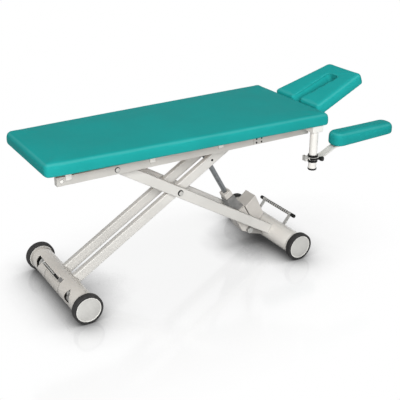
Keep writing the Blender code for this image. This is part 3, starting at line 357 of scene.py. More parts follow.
def birch_plywood():
    """Sanded birch ply: pale face grain along the board, and darker glue lines on the cut edge."""
    material, tree, shader, place = new_material("birch_plywood", {"IOR": 1.5})
    stretch = add_node(tree, "ShaderNodeMapping", {"Scale": (0.06, 1.0, 1.0)}, {"Vector": place})
    grain = add_node(tree, "ShaderNodeTexNoise", {"Scale": per_metre(9), "Detail": 6.0, "Distortion": 0.6},
                     {"Vector": stretch.outputs["Vector"]})
    ply_scale = per_metre(3.0) / (2 * math.pi)
    plies = add_node(tree, "ShaderNodeTexWave",
                     {"Scale": ply_scale, "bands_direction": "Z", "Distortion": 0.3}, {"Vector": place})
    mixed = add_node(tree, "ShaderNodeMix", {"Factor": 0.35},
                     {"A": grain.outputs["Fac"], "B": plies.outputs["Fac"]})
    run_patterns(tree, shader, colour=(mixed.outputs["Result"], "#a77f50", "#d2ad7c"),
                 roughness=(grain.outputs["Fac"], 0.65, 0.65), bump=(grain.outputs["Fac"], 0.2, 0.15),
                 stops=(0.25, 0.75))
    return material


def upholstery_vinyl(name, dark, light):
    """PU-coated upholstery vinyl: a fine pebbled leather print with a soft satin sheen, and a painted
    highlight that makes the rolls paler.

    The real print is about 1 mm. It is drawn at 3 mm, so that it shows."""
    values = {"IOR": 1.5, "Roughness": 0.6, "Specular IOR Level": 0.04}
    material, tree, shader, place = new_material(name, values)
    warp = add_node(tree, "ShaderNodeTexNoise", {"Scale": per_metre(6), "Detail": 2.0}, {"Vector": place})
    bent = add_node(tree, "ShaderNodeVectorMath", {"operation": "MULTIPLY_ADD", "Vector_001": (0.0022,) * 3},
                    {"Vector": warp.outputs["Color"], "Vector_002": place})
    cells = add_node(tree, "ShaderNodeTexVoronoi", {"Scale": per_metre(3.0), "feature": "DISTANCE_TO_EDGE"},
                     {"Vector": bent.outputs["Vector"]})
    creases = add_node(tree, "ShaderNodeMapRange", {"From Max": 0.25}, {"Value": cells.outputs["Distance"]})
    tone = add_node(tree, "ShaderNodeTexNoise", {"Scale": per_metre(220), "Detail": 4.0}, {"Vector": place})
    colour = run_patterns(tree, shader, colour=(tone.outputs["Fac"], dark, light),
                          roughness=(tone.outputs["Fac"], 0.5, 0.66),
                          bump=(creases.outputs["Result"], 0.22, 0.12))
    # Painted highlight: the pads' rolls turn pale teal by how far up they face.
    normal = add_node(tree, "ShaderNodeTexCoord").outputs["Normal"]
    facing = add_node(tree, "ShaderNodeSeparateXYZ", links={"Vector": normal})
    roll_highlight = add_node(tree, "ShaderNodeFloatCurve", links={"Value": facing.outputs["Z"]})
    curve = roll_highlight.mapping.curves[0]
    for position, height in ROLL_HIGHLIGHT_CURVE:
        curve.points.new(position, height)
    curve.points[0].location = (0, 0)
    curve.points[-1].location = (1, 0)
    roll_highlight.mapping.update()
    tint_where(tree, shader, colour, roll_highlight.outputs["Value"], 0, 1, "#7fd0cc")
    return material


def make_finishes():
    """All finishes by name. The whites differ a little, to match their tones in the photograph: darker rail
    and bracket coats are painted shade, paler head tube and post coats painted light.
    """
    return {
        "frame": powder_coat("frame_powder_coat", "#d9d7d2", "#e1dfda"),
        # Painted shade: the rails get a darker copy of the frame's coat, as they lie in the pad's shade.
        "rail": powder_coat("rail_powder_coat_painted_shade", "#c2c0bb", "#cac8c3"),
        "cover": powder_coat("cover_powder_coat", "#d8d3cb", "#e0dbd3", 0.34),
        "foot_tube": powder_coat("foot_tube_powder_coat", "#d8d3cb", "#e0dbd3", 0.34, FOOT_AXIS, 0.6),
        # Painted light: the head tube gets a paler copy of the tubes' coat.
        "head_tube": powder_coat("head_tube_powder_coat_painted_light", "#f2eee7", "#f7f4ee", 0.34, HEAD_AXIS, 0.6),
        # Painted light: the posts get a paler copy of the white coat.
        "post": powder_coat("post_powder_coat_painted_light", "#f5f2ec", "#f9f7f2", 0.34),
        # Painted shade: the drive's bracket gets a dark grey copy of the coat, as it lies under the drive.
        "bracket": powder_coat("bracket_powder_coat_painted_shade", "#8f8d89", "#9a9894"),
        "zinc": fine_grained("zinc_passivate", "#b4b4b1", "#c0c0bd", 0.32),
        "steel": ground_steel("ground_steel", 0),
        "rod": ground_steel("ground_rod", ACTUATOR_ANGLE, "#707375", "#8b8e90"),
        "rubber": tyre_rubber(),
        "cap": fine_grained("wheel_cap_plastic", "#c3c2be", "#cbcac6", 0.30),
        "pale_piece": fine_grained("pale_plastic", "#ecebe6", "#f2f1ec", 0.34),
        "black": fine_grained("black_nylon", "#0e0e0e", "#171717", 0.45, gloss=0.2),
        "castor": fine_grained("castor_nylon", "#7d7c79", "#8b8a87", 0.4),
        "housing": fine_grained("drive_housing_plastic", "#d0ccc6", "#d8d4ce", 0.48),
        "grip": ribbed_bar(),
        "casting": cast_aluminium(),
        "plywood": birch_plywood(),
        "vinyl": upholstery_vinyl("upholstery_vinyl", "#1f9c99", "#22a29f"),
        # Painted light: a paler copy of the pads' vinyl for the head rest, whose top shows lighter.
        "head_vinyl_painted_light": upholstery_vinyl("headrest_vinyl_painted_light", "#22a9a6", "#26afac"),
    }


# Shapes


def lathe(profile, segments):
    """Turns a (radius, height) outline about +Z. An outline that ends where it starts makes a ring."""
    bm = bmesh.new()
    verts = [bm.verts.new((radius, 0, height)) for radius, height in profile]
    edges = [bm.edges.new(pair) for pair in zip(verts, verts[1:])]
    bmesh.ops.spin(bm, geom=verts + edges, cent=(0, 0, 0), axis=Z, angle=2 * math.pi, steps=segments,
                   use_merge=True)
    bmesh.ops.remove_doubles(bm, verts=bm.verts, dist=1e-6)
    bmesh.ops.recalc_face_normals(bm, faces=bm.faces)
    return bm


def ring_of(bm, radius, height, segments):
    """A loop of edges round +Z."""
    place = Matrix.Translation((0, 0, height))
    made = bmesh.ops.create_circle(bm, segments=segments, radius=radius, matrix=place)
    return list({edge for vert in made["verts"] for edge in vert.link_edges})


def socket_screw(radius, height):
    """Button-head screw on +Z, seated at 0, with a hexagon socket."""
    bm = bmesh.new()
    head = ((1, 0), (1, 0.3), (0.88, 0.72), (0.62, 1))
    socket = ((0.42, 1), (0.40, 0.4))
    rings = [ring_of(bm, r * radius, z * height, 20) for r, z in head]
    rings += [ring_of(bm, r * radius, z * height, 6) for r, z in socket]
    for lower, upper in zip(rings, rings[1:]):
        bmesh.ops.bridge_loops(bm, edges=lower + upper)
    for loop in (rings[0], rings[-1]):
        bmesh.ops.edgeloop_fill(bm, edges=loop)
    bmesh.ops.recalc_face_normals(bm, faces=bm.faces)
    return bm


def slab(size, edge):
    """A box about the origin with rounded edges."""
    bm = bmesh.new()
    bmesh.ops.create_cube(bm, size=1, matrix=Matrix.Diagonal((*size, 1)))
    bmesh.ops.bevel(bm, geom=bm.edges[:], offset=edge, segments=2, profile=0.5, affect="EDGES", material=-1)
    return bm


def washer(inner, outer, height, segments=28):
    """Flat ring on +Z with a small chamfer on its upper rim."""
    edge = min(0.0006, height / 2)
    rim = [(outer, 0), (outer, height - edge), (outer - edge, height)]
    return lathe([(inner, 0), *rim, (inner, height), (inner, 0)], segments)


def dome(radius, height):
    """Pressed-in cap on +Z with a short rim and a shallow dome."""
    rim = 0.35
    profile = [(0, 0), (radius, 0), (radius, rim * height)]
    for step in range(1, 6):
        angle = math.radians(18 * step)
        profile.append((radius * math.cos(angle), height * (rim + (1 - rim) * math.sin(angle))))
    profile[-1] = (0, height)
    return lathe(profile, 28)


def merged(parts):
    """One bmesh from several."""
    whole = bmesh.new()
    for part in parts:
        mesh = bpy.data.meshes.new("part")
        part.to_mesh(mesh)
        part.free()
        whole.from_mesh(mesh)
        bpy.data.meshes.remove(mesh)
    return whole


def set_in(bm, at, axis):
    """Turns a shape's +Z onto an axis and moves its origin to a point."""
    turn = Vector(axis).to_track_quat("Z", "Y").to_matrix().to_4x4()
    bmesh.ops.transform(bm, matrix=Matrix.Translation(at) @ turn, verts=bm.verts)
    return bm


def tilted(bm, at, angle):
    """Turns a shape's +X up by an angle and moves its origin to a point."""
    bmesh.ops.transform(bm, matrix=Matrix.Translation(at) @ Matrix.Rotation(-angle, 4, "Y"), verts=bm.verts)
    return bm


def shifted(bm, vector):
    """Moves a shape."""
    bmesh.ops.translate(bm, verts=bm.verts, vec=vector)
    return bm


def facet_smoother():
    """A modifier tree that joins loose facets and shades them round, apart from edges that are sharp."""
    tree = bpy.data.node_groups.new("facet_smoother", "GeometryNodeTree")
    for way in ("INPUT", "OUTPUT"):
        tree.interface.new_socket("Geometry", in_out=way, socket_type="NodeSocketGeometry")
    source = add_node(tree, "NodeGroupInput")
    joined = add_node(tree, "GeometryNodeMergeByDistance", {"Distance": 1e-6},
                      {"Geometry": source.outputs["Geometry"]})
    angle = add_node(tree, "GeometryNodeInputMeshEdgeAngle")
    sharp = add_node(tree, "FunctionNodeCompare", {"operation": "GREATER_THAN", "B": FRAME_SHARP},
                     {"A": angle.outputs["Unsigned Angle"]})
    rounded = add_node(tree, "GeometryNodeSetShadeSmooth", {"domain": "FACE"},
                       {"Geometry": joined.outputs["Geometry"]})
    creased = add_node(tree, "GeometryNodeSetShadeSmooth", {"domain": "EDGE", "Shade Smooth": False},
                       {"Geometry": rounded.outputs["Geometry"], "Selection": sharp.outputs["Result"]})
    add_node(tree, "NodeGroupOutput", links={"Geometry": creased.outputs["Geometry"]})
    return tree


def dress_frame(frame, finish):
    """Gives each node of the frame its finish, and shades it round where it is round."""
    slots = {row["node"]: row["material_slot"] for row in frame["record"]["subparts"]}
    smoother = facet_smoother()
    for name, node in frame["nodes"].items():
        node.data.materials.clear()
        node.data.materials.append(finish[NODE_FINISHES.get(name, SLOT_FINISHES[slots[name]])])
        node.modifiers.new("facets", "NODES").node_group = smoother
        node.modifiers.new("weighted", "WEIGHTED_NORMAL").keep_sharp = True


def piece(name, bm, body, material):
    """A finished piece from a bmesh that is already in its place."""
    mesh = bpy.data.meshes.new(name)
    bm.to_mesh(mesh)
    bm.free()
    mesh.shade_smooth()
    mesh.set_sharp_from_angle(angle=PIECE_SHARP)
    mesh.materials.append(material)
    obj = bpy.data.objects.new(name, mesh)
    bpy.context.scene.collection.objects.link(obj)
    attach(obj, body)
    return obj


# Upholstery


def evaluated_mesh(obj):
    """The object's mesh with its modifiers applied."""
    graph = bpy.context.evaluated_depsgraph_get()
    return bpy.data.meshes.new_from_object(obj.evaluated_get(graph))


def remeshed(obj, voxel):
    """Replaces the object's mesh by an even one."""
    modifier = obj.modifiers.new("even", "REMESH")
    modifier.mode = "VOXEL"
    modifier.voxel_size = voxel
    mesh = evaluated_mesh(obj)
    obj.modifiers.clear()
    obj.data = mesh


def inflate(obj, held_below, most):
    """Swells the cover by cloth simulation. It holds below a height, and moves by no more than most."""
    rest = [vert.co.copy() for vert in obj.data.vertices]
    held = obj.vertex_groups.new(name="held")
    held.add([i for i, co in enumerate(rest) if co.z < held_below], 1.0, "REPLACE")
    cloth = obj.modifiers.new("cover", "CLOTH")
    settings = cloth.settings
    settings.quality = 5
    settings.mass = 0.3
    settings.tension_stiffness = settings.compression_stiffness = 20
    settings.shear_stiffness = 8
    settings.bending_stiffness = 1.5
    settings.use_pressure = True
    settings.uniform_pressure_force = COVER_PRESSURE
    settings.vertex_group_mass = "held"
    settings.effector_weights.gravity = 0
    cloth.collision_settings.use_collision = False
    scene = bpy.context.scene
    for frame_number in range(1, COVER_FRAMES + 1):
        scene.frame_set(frame_number)
    mesh = evaluated_mesh(obj)
    obj.modifiers.clear()
    obj.vertex_groups.clear()
    scene.frame_set(1)
    for vert, start in zip(mesh.vertices, rest):
        shift = vert.co - start
        vert.co = start + shift * (most / (most + shift.length))
    obj.data = mesh


def upholstered(name, bm, body, node, material, voxel, swell, shape, place=Matrix.Identity(4)):
    """A stuffed cover for a CAD cushion: even mesh, inflated, smoothed, shaped and set in its place."""
    mesh = bpy.data.meshes.new(name)
    bm.to_mesh(mesh)
    bm.free()
    obj = bpy.data.objects.new(name, mesh)
    bpy.context.scene.collection.objects.link(obj)
    low = min(vert.co.z for vert in mesh.vertices)
    remeshed(obj, voxel)
    inflate(obj, low + COVER_HELD, swell)
    soft = bmesh.new()
    soft.from_mesh(obj.data)
    bmesh.ops.smooth_vert(soft, verts=soft.verts, factor=0.5,
                          use_axis_x=True, use_axis_y=True, use_axis_z=True)
    shape(soft)
    bmesh.ops.transform(soft, matrix=place, verts=soft.verts)
    soft.to_mesh(obj.data)
    soft.free()
    obj.data.shade_smooth()
    obj.data.materials.clear()
    obj.data.materials.append(material)
    smooth = obj.modifiers.new("smooth", "SUBSURF")
    smooth.levels = smooth.render_levels = 1
    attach(obj, body)
    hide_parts(node)
    return obj


def outline_block(corners, low, high, top_edge, bottom_edge):
    """A block on Z over an outline of (x, y, corner radius) points, with its top and bottom rims rounded."""
    bm = bmesh.new()
    verts = [bm.verts.new((x, y, low)) for x, y, radius in corners]
    bm.faces.new(verts)
    for vert, (x, y, radius) in zip(verts, corners):
        bmesh.ops.bevel(bm, geom=[vert], offset=radius, segments=8, profile=0.5, affect="VERTICES",
                        material=-1)
    grown = bmesh.ops.extrude_face_region(bm, geom=bm.faces[:])
    top = [item for item in grown["geom"] if isinstance(item, bmesh.types.BMVert)]
    bmesh.ops.translate(bm, verts=top, vec=(0, 0, high - low))
    bmesh.ops.recalc_face_normals(bm, faces=bm.faces)
    for level, radius, segments in ((high, top_edge, 6), (low, bottom_edge, 3)):
        rim = [e for e in bm.edges if all(abs(v.co.z - level) < 1e-6 for v in e.verts)]
        bmesh.ops.bevel(bm, geom=rim, offset=radius, segments=segments, profile=0.5, affect="EDGES",
                        material=-1)
    return bm


def lift_over_board(bm, low, board_top, over_board):
    """Lifts the underside above the board that the cover is drawn over."""
    for vert in bm.verts:
        if vert.co.z < low + UNDERSIDE_DEPTH and over_board(vert.co.x, vert.co.y):
            vert.co.z = board_top + BOARD_GAP


def make_main_pad(vinyl):
    """Long pad that widens to the head, with swelling sides, a slight arch and a pocket for its board."""
    low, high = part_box("main_pad")
    foot, head = PAD_FOOT_HALF - PAD_INSET, PAD_HEAD_HALF - PAD_INSET
    start, end = low.x + PAD_INSET, high.x - PAD_INSET
    outline = ((start, -foot), (end, -head), (end, head), (start, foot))
    corners = [(x, y, PAD_CORNER) for x, y in outline]
    bm = outline_block(corners, low.z, high.z - PAD_HEADROOM, PAD_TOP_EDGE, PAD_BOTTOM_EDGE)

    def half_width(x):
        return PAD_FOOT_HALF + (PAD_HEAD_HALF - PAD_FOOT_HALF) * (x - low.x) / (high.x - low.x)

    def over_board(x, y):
        return low.x + BOARD_INSET < x < high.x - BOARD_INSET and abs(y) < half_width(x) - BOARD_INSET

    def shape(soft):
        lift_over_board(soft, low.z, BOARD_TOP, over_board)
        for vert in soft.verts:
            run = (vert.co.x - low.x) / (high.x - low.x)
            half = half_width(vert.co.x)
            vert.co.y *= 1 + PAD_BOW * 4 * run * (1 - run) / half
            if vert.co.z > high.z - PAD_CROWN_DEPTH:
                across, along = 1 - (vert.co.y / half) ** 4, 1 - (2 * run - 1) ** 4
                vert.co.z += PAD_CROWN * max(0, across) * max(0, along)

    upholstered("main_pad_cover", bm, "top_frame", "main_pad", vinyl, PAD_VOXEL, PAD_SWELL, shape)


def make_arm_pads(vinyl):
    """Rounded arm pads whose underside rises towards the tip."""
    for side in ("near", "far"):
        low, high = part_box(f"arm_pad_{side}")
        start, end = low.x + SMALL_PAD_INSET, high.x - SMALL_PAD_INSET
        near, far = low.y + SMALL_PAD_INSET, high.y - SMALL_PAD_INSET
        outline = ((start, near), (end, near), (end, far), (start, far))
        corners = [(x, y, ARM_PAD_CORNER) for x, y in outline]
        bm = outline_block(corners, low.z, high.z - ARM_PAD_HEADROOM, ARM_PAD_TOP_EDGE, ARM_PAD_BOTTOM_EDGE)

        def shape(soft):
            for vert in soft.verts:
                lower = max(0, 1 - (vert.co.z - low.z) / ARM_PAD_RISE_DEPTH)
                vert.co.z += ARM_PAD_RISE * lower * (vert.co.x - low.x) / (high.x - low.x)

        upholstered(f"arm_pad_cover_{side}", bm, f"arm_rest_{side}", f"arm_pad_{side}", vinyl,
                    SMALL_PAD_VOXEL, ARM_PAD_SWELL, shape)


def make_head_pad(vinyl):
    """Tapered head pad with a slot that is open towards the table, in the hinge's own tilted frame."""
    inset = SMALL_PAD_INSET
    start, end = HEAD_START + inset, HEAD_START + HEAD_LENGTH - inset
    slot_end = HEAD_START + SLOT_LENGTH + inset
    half_outline = (
        (start, SLOT_BASE_HALF + inset, SLOT_BASE_CORNER), (start, HEAD_BASE_HALF - inset, HEAD_BASE_CORNER),
        (end, HEAD_TIP_HALF - inset, HEAD_TIP_CORNER),
    )
    corners = [(x, -y, radius) for x, y, radius in half_outline]
    corners += reversed(half_outline)
    corners += [(slot_end, y, SLOT_TIP_CORNER) for y in (SLOT_TIP_HALF + inset, -SLOT_TIP_HALF - inset)]
    bm = outline_block(corners, HEAD_LOW, HEAD_HIGH - HEAD_HEADROOM, HEAD_TOP_EDGE, HEAD_BOTTOM_EDGE)

    def over_board(x, y):
        margin = HEAD_BOARD_INSET
        along = (x - HEAD_START) / HEAD_LENGTH
        outer = HEAD_BASE_HALF + (HEAD_TIP_HALF - HEAD_BASE_HALF) * along - margin
        slot = SLOT_BASE_HALF + (SLOT_TIP_HALF - SLOT_BASE_HALF) * (x - HEAD_START) / SLOT_LENGTH + margin
        in_slot = x < HEAD_START + SLOT_LENGTH + margin and abs(y) < slot
        inside = HEAD_START + margin < x < HEAD_START + HEAD_LENGTH - margin and abs(y) < outer
        return inside and not in_slot

    def shape(soft):
        lift_over_board(soft, HEAD_LOW, HEAD_BOARD_TOP, over_board)

    place = Matrix.Translation(HEAD_HINGE) @ Matrix.Rotation(-HEAD_TILT, 4, "Y")
    upholstered("headrest_cover", bm, "headrest", "headrest_pad", vinyl,
                SMALL_PAD_VOXEL, HEAD_SWELL, shape, place)


# Fittings


def make_rail_fittings(finish):
    """Guide-plate screws, pivot caps with their washers, the plugs of the rails and crossbars, and a grey
    ring of painted shade round each rail plug.
    """
    for side, out in SIDES:
        plate = Vector((GUIDE_SCREWS_X, 0, RAIL_MIDDLE_Z)) + out * GUIDE_PLATE_Y
        places = [plate + Vector((dx, 0, dz)) for dx in (-GUIDE_SCREWS_DX, GUIDE_SCREWS_DX)
                  for dz in (-GUIDE_SCREWS_DZ, GUIDE_SCREWS_DZ)]
        screws = merged([set_in(socket_screw(*GUIDE_SCREW), place, out) for place in places])
        piece(f"guide_plate_screws_{side}", screws, "top_frame", finish["black"])
        ring = set_in(washer(*PIVOT_WASHER), TOP_PIN + out * PIVOT_WASHER_Y, out)
        piece(f"pivot_washer_{side}", ring, "top_frame", finish["black"])
        cap = set_in(dome(*PIVOT_CAP), TOP_PIN + out * PIVOT_CAP_Y, out)
        piece(f"pivot_cap_{side}", cap, "outer_arms", finish["cap"])
        plug_at = Vector((RAIL_PLUG_X, 0, RAIL_MIDDLE_Z)) + out * RAIL_FACE_Y
        plug = set_in(dome(*RAIL_PLUG), plug_at, out)
        piece(f"rail_plug_{side}", plug, "top_frame", finish["pale_piece"])
        # Painted shade: a grey ring round the rail plug.
        ring = set_in(washer(*RAIL_PLUG_SHADE_RING), plug_at, out)
        piece(f"rail_plug_shade_ring_{side}", ring, "top_frame", finish["casting"])
        places = [Vector((x, 0, CROSSBAR_Z)) + out * CROSSBAR_END_Y for x in CROSSBARS_X]
        plugs = merged([shifted(slab(CROSSBAR_PLUG, CROSSBAR_PLUG_EDGE), place) for place in places])
        piece(f"crossbar_plugs_{side}", plugs, "top_frame", finish["pale_piece"])


def make_scissor_fittings(finish):
    """End plugs of the scissor arms, caps and washers of the cross shaft, and the bolts of the lift point."""
    arms = (("inner", FOOT_AXIS, LIFT_ANGLE, INNER_ARM_Y),
            ("outer", HEAD_AXIS, math.pi - LIFT_ANGLE, OUTER_ARM_Y))
    for side, out in SIDES:
        for arm, axis, angle, y in arms:
            along = Vector((math.cos(angle), 0, math.sin(angle)))
            plug = tilted(slab(ARM_PLUG, ARM_PLUG_EDGE), axis + ARM_REACH * along + out * y, angle)
            piece(f"{arm}_arm_plug_{side}", plug, f"{arm}_arms", finish["cap"])
        ring = set_in(washer(*CROSS_WASHER), CROSS_PIN + out * CROSS_WASHER_Y, out)
        piece(f"cross_washer_{side}", ring, "outer_arms", finish["black"])
        cap = set_in(dome(*CROSS_CAP), CROSS_PIN + out * CROSS_CAP_Y, out)
        piece(f"cross_cap_{side}", cap, "inner_arms", finish["cap"])
        bolt = set_in(socket_screw(*LIFT_BOLT), LIFT_PIN + out * (INNER_ARM_Y + ARM_HALF), out)
        piece(f"lift_bolt_{side}", bolt, "inner_arms", finish["black"])


def surface_band(y, width, start, end, low, high):
    """A strip round the foot tube between two angles above its outer horizon and two radii."""
    bm = bmesh.new()
    near, far = y - width / 2, y + width / 2
    corners = ((low, near), (high, near), (high, far), (low, far))
    verts = [bm.verts.new((-r * math.cos(start), place, r * math.sin(start))) for r, place in corners]
    face = bm.faces.new(verts)
    bmesh.ops.spin(bm, geom=[face, *face.edges, *verts], cent=(0, 0, 0), axis=Y, angle=end - start, steps=24)
    bmesh.ops.recalc_face_normals(bm, faces=bm.faces)
    return shifted(bm, FOOT_AXIS)


def make_cover_seam_shade(finish):
    """Thin black strips along both end seams of the foot tube's cover: painted shade of the seams' gaps."""
    ends = ((COVER_NEAR_Y, SEAM_SHADE_NEAR_START), (COVER_FAR_Y, SEAM_SHADE_FAR_START))
    seam_shade = merged([surface_band(y, SEAM_SHADE_WIDTH, start, SEAM_SHADE_END, SEAM_SHADE_LOW, SEAM_SHADE_HIGH) for y, start in ends])
    piece("cover_seam_shade", seam_shade, "inner_arms", finish["black"])


def wheel_hub():
    """Wheel disc on +Z: bore, bead round the rim and domed face. 0 is at the foot of the dome."""
    inner, foot = HUB_RADIUS - HUB_BEAD, 0.0010
    profile = [(HUB_BORE, HUB_BACK), (HUB_RADIUS, HUB_BACK), (HUB_RADIUS, 0.0012),
               (HUB_RADIUS - 0.0012, 0.0022), (HUB_RADIUS - 0.0028, 0.0020), (inner, 0.0008)]
    for step in range(9, -1, -1):
        radius = inner * step / 10
        profile.append((radius, foot + (HUB_DOME - foot) * (1 - (radius / inner) ** 2)))
    profile += [(0, HUB_BORE_END), (HUB_BORE, HUB_BORE_END), (HUB_BORE, HUB_BACK)]
    return lathe(profile, 72)


def round_tyre():
    """Solid tyre on +Z between its two faces, with soft shoulders."""
    width, soft = TYRE_OUTER - TYRE_INNER, TYRE_SHOULDER
    profile = [(HUB_RADIUS, 0)]
    for middle, start in ((soft, -90), (width - soft, 0)):
        for step in range(6):
            angle = math.radians(start + 18 * step)
            profile.append((TYRE_RADIUS - soft + soft * math.cos(angle), middle + soft * math.sin(angle)))
    return lathe([*profile, (HUB_RADIUS, width), (HUB_RADIUS, 0)], 96)


def make_wheels(finish):
    """Domed wheel discs, soft-shouldered tyres and pale rings of painted highlight on the discs' rims, at
    both ends of the two roller tubes.
    """
    for end, axis in (("foot", FOOT_AXIS), ("head", HEAD_AXIS)):
        for side, out in SIDES:
            body = "base" if end == "foot" else f"head_wheel_{side}"
            face = axis + out * HUB_FACE_Y
            disc = set_in(wheel_hub(), face, out)
            hub = piece(f"{end}_hub_{side}", disc, body, finish["cap"])
            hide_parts(f"{end}_wheel_{side}")
            tyre = set_in(round_tyre(), axis + out * TYRE_INNER, out)
            tread = piece(f"{end}_tread_{side}", tyre, body, finish["rubber"])
            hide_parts(f"{end}_tyre_{side}")
            # Painted highlight: a pale ring on the disc's rim.
            pale_piece = set_in(washer(*RIM_HIGHLIGHT_RING, 72), face + out * RIM_HIGHLIGHT_OUT, out)
            piece(f"{end}_trim_{side}", pale_piece, body, finish["pale_piece"])


def make_foot_fittings(finish):
    """A grey plate of painted shade in the finger recess, the foot lever's grip, the plates that close the
    castor wells and the caps of the castors.
    """
    outward = Vector((-math.cos(RECESS_ANGLE), 0, math.sin(RECESS_ANGLE)))
    shade_plate_at = FOOT_AXIS + RECESS_RADIUS * outward + Y * RECESS_SHADE_PLATE_Y
    # Painted shade: a grey plate over the finger recess.
    rest = set_in(slab(RECESS_SHADE_PLATE, RECESS_SHADE_PLATE_EDGE), shade_plate_at, outward)
    piece("recess_shade_plate", rest, "inner_arms", finish["casting"])
    for side, out in SIDES:
        plate = set_in(washer(*CASTOR_PLATE, 48), FOOT_AXIS + out * CASTOR_PLATE_Y, out)
        piece(f"castor_plate_{side}", plate, "inner_arms", finish["zinc"])
        cap = set_in(dome(*CASTOR_CAP), FOOT_AXIS + CASTOR_OFFSET + out * CASTOR_CAP_Y, out)
        piece(f"castor_cap_{side}", cap, f"castor_fork_{side}", finish["cap"])
    lever = FOOT_AXIS + LEVER_RADIUS * Vector((-math.cos(LEVER_ANGLE), 0, math.sin(LEVER_ANGLE)))
    profile = [(0.0059, 0), (0.0066, 0.0008), (0.0066, 0.0425), (0.0052, 0.0450), (0, 0.0455), (0, 0.0445),
               (0.0059, 0.0440), (0.0059, 0)]
    grip = set_in(lathe(profile, 24), lever + Y * LEVER_GRIP_Y, -Y)
    piece("lever_grip", grip, "foot_lever", finish["black"])


def make_pedal_caps(finish):
    """Black end caps of the foot bar."""
    profile = [(0.0087, 0), (0.0102, 0.0010), (0.0104, 0.0230), (0.0092, 0.0252), (0, 0.0262), (0, 0.0240),
               (0.0087, 0.0240), (0.0087, 0)]
    for side, out in SIDES:
        cap = set_in(lathe(profile, 24), PEDAL_BAR + out * PEDAL_CAP_Y, out)
        piece(f"pedal_cap_{side}", cap, "pedal", finish["black"])


def star_knob():
    """Five-lobed clamp knob on +Z with a neck and the plain shank of its stud."""
    profile = [(0, 0.0245), (0.0038, 0.0245), (0.0038, 0.0345), (0.0088, 0.0345), (0.0092, 0.0400),
               (0.0115, 0.0425), (0.0130, 0.0450), (0.0132, 0.0540), (0.0118, 0.0582), (0.0085, 0.0602),
               (0, 0.0608)]
    bm = lathe(profile, 60)
    for vert in bm.verts:
        if vert.co.z > KNOB_NECK_TOP:
            angle = math.atan2(vert.co.y, vert.co.x)
            waist = 1 - KNOB_WAIST * (0.5 - 0.5 * math.cos(KNOB_LOBES * angle)) ** 1.5
            vert.co.x *= waist
            vert.co.y *= waist
    return bm


def make_arm_fittings(finish):
    """Star knobs for the plain ones, and the clamps' bands, ears, pinch screws and stud bosses."""
    flank = BAND_HALF - BAND_CHAMFER
    band_profile = [(BAND_INNER, -BAND_HALF), (BAND_OUTER, -flank), (BAND_OUTER, flank),
                    (BAND_INNER, BAND_HALF), (BAND_INNER, -BAND_HALF)]
    for side, beside in SIDES:
        body = f"arm_rest_{side}"
        post = Vector((POST.x, 0, POST.z)) + beside * POST.y
        out = Vector((math.cos(KNOB_TURN), 0, 0)) + beside * math.sin(KNOB_TURN)
        knob = set_in(star_knob(), post, out)
        knob = piece(f"star_knob_{side}", knob, f"arm_knob_{side}", finish["black"])
        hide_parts(f"arm_knob_{side}")
        band = shifted(lathe(band_profile, 48), post)
        piece(f"clamp_band_{side}", band, body, finish["black"])
        ear = shifted(slab(CLAMP_EAR, CLAMP_EAR_EDGE), post + CLAMP_EAR_AT)
        piece(f"clamp_ear_{side}", ear, body, finish["zinc"])
        pinch_at = post + Vector((PINCH_SCREW_X, 0, 0)) + beside * PINCH_SCREW_Y
        pinch = set_in(socket_screw(*PINCH_SCREW), pinch_at, beside)
        piece(f"pinch_screw_{side}", pinch, body, finish["black"])
        boss = set_in(washer(*CLAMP_BOSS), post + out * CLAMP_BOSS_OUT, out)
        piece(f"clamp_boss_{side}", boss, body, finish["black"])


def in_drive(bm):
    """Moves a shape from the drive's own frame to the world."""
    return tilted(bm, ACTUATOR_PIN, ACTUATOR_ANGLE)


def make_drive_fittings(finish):
    """Gasket and screws of the motor housing, and the clips of the drive's lower pin."""
    gasket = shifted(slab(MOTOR_GASKET, MOTOR_GASKET_EDGE), MOTOR_GASKET_AT)
    piece("motor_gasket", in_drive(gasket), "actuator", finish["black"])
    places = [(x, y, MOTOR_FACE_Z + MOTOR_FACE_SLOPE * (x - MOTOR_FACE_X))
              for x in MOTOR_SCREWS_X for y in MOTOR_SCREWS_Y]
    screws = merged([set_in(socket_screw(*MOTOR_SCREW), place, MOTOR_FACE_OUT) for place in places])
    piece("motor_screws", in_drive(screws), "actuator", finish["steel"])
    for side, out in SIDES:
        clip = set_in(washer(*PIN_CLIP), ACTUATOR_PIN + out * PIN_CLIP_Y, out)
        piece(f"pin_clip_{side}", clip, "outer_arms", finish["cap"])


def make_hinge_fittings(finish):
    """Cap nuts with washers on the head rest's hinge rod."""
    for side, out in SIDES:
        end = HEAD_HINGE + out * HINGE_END_Y
        ring = set_in(washer(*HINGE_WASHER), end, out)
        cap = set_in(dome(*HINGE_CAP), end + out * HINGE_WASHER[-1], out)
        piece(f"hinge_cap_{side}", merged([ring, cap]), "headrest", finish["steel"])


# Stage


def make_camera():
    """The camera of the photograph."""
    data = bpy.data.cameras.new("camera")
    data.lens = CAMERA_LENS
    data.sensor_width = CAMERA_SENSOR
    camera = bpy.data.objects.new("camera", data)
    bpy.context.scene.collection.objects.link(camera)
    camera.location = CAMERA_AT
    ahead = Vector((math.sin(CAMERA_YAW), math.cos(CAMERA_YAW), -math.tan(CAMERA_PITCH)))
    camera.rotation_mode = "QUATERNION"
    camera.rotation_quaternion = ahead.to_track_quat("-Z", "Y") @ Quaternion(Z, CAMERA_ROLL)
    bpy.context.scene.camera = camera


def seen_directly(tree):
    """1 for rays from the camera, from a mirror or through glass, which should meet a plain white room."""
    path = add_node(tree, "ShaderNodeLightPath")
    seen = path.outputs["Is Camera Ray"]
    for name in ("Is Glossy Ray", "Is Transmission Ray"):
        both = add_node(tree, "ShaderNodeMath", {"operation": "MAXIMUM"},
                        {"Value": seen, "Value_001": path.outputs[name]})
        seen = both.outputs["Value"]
    return seen


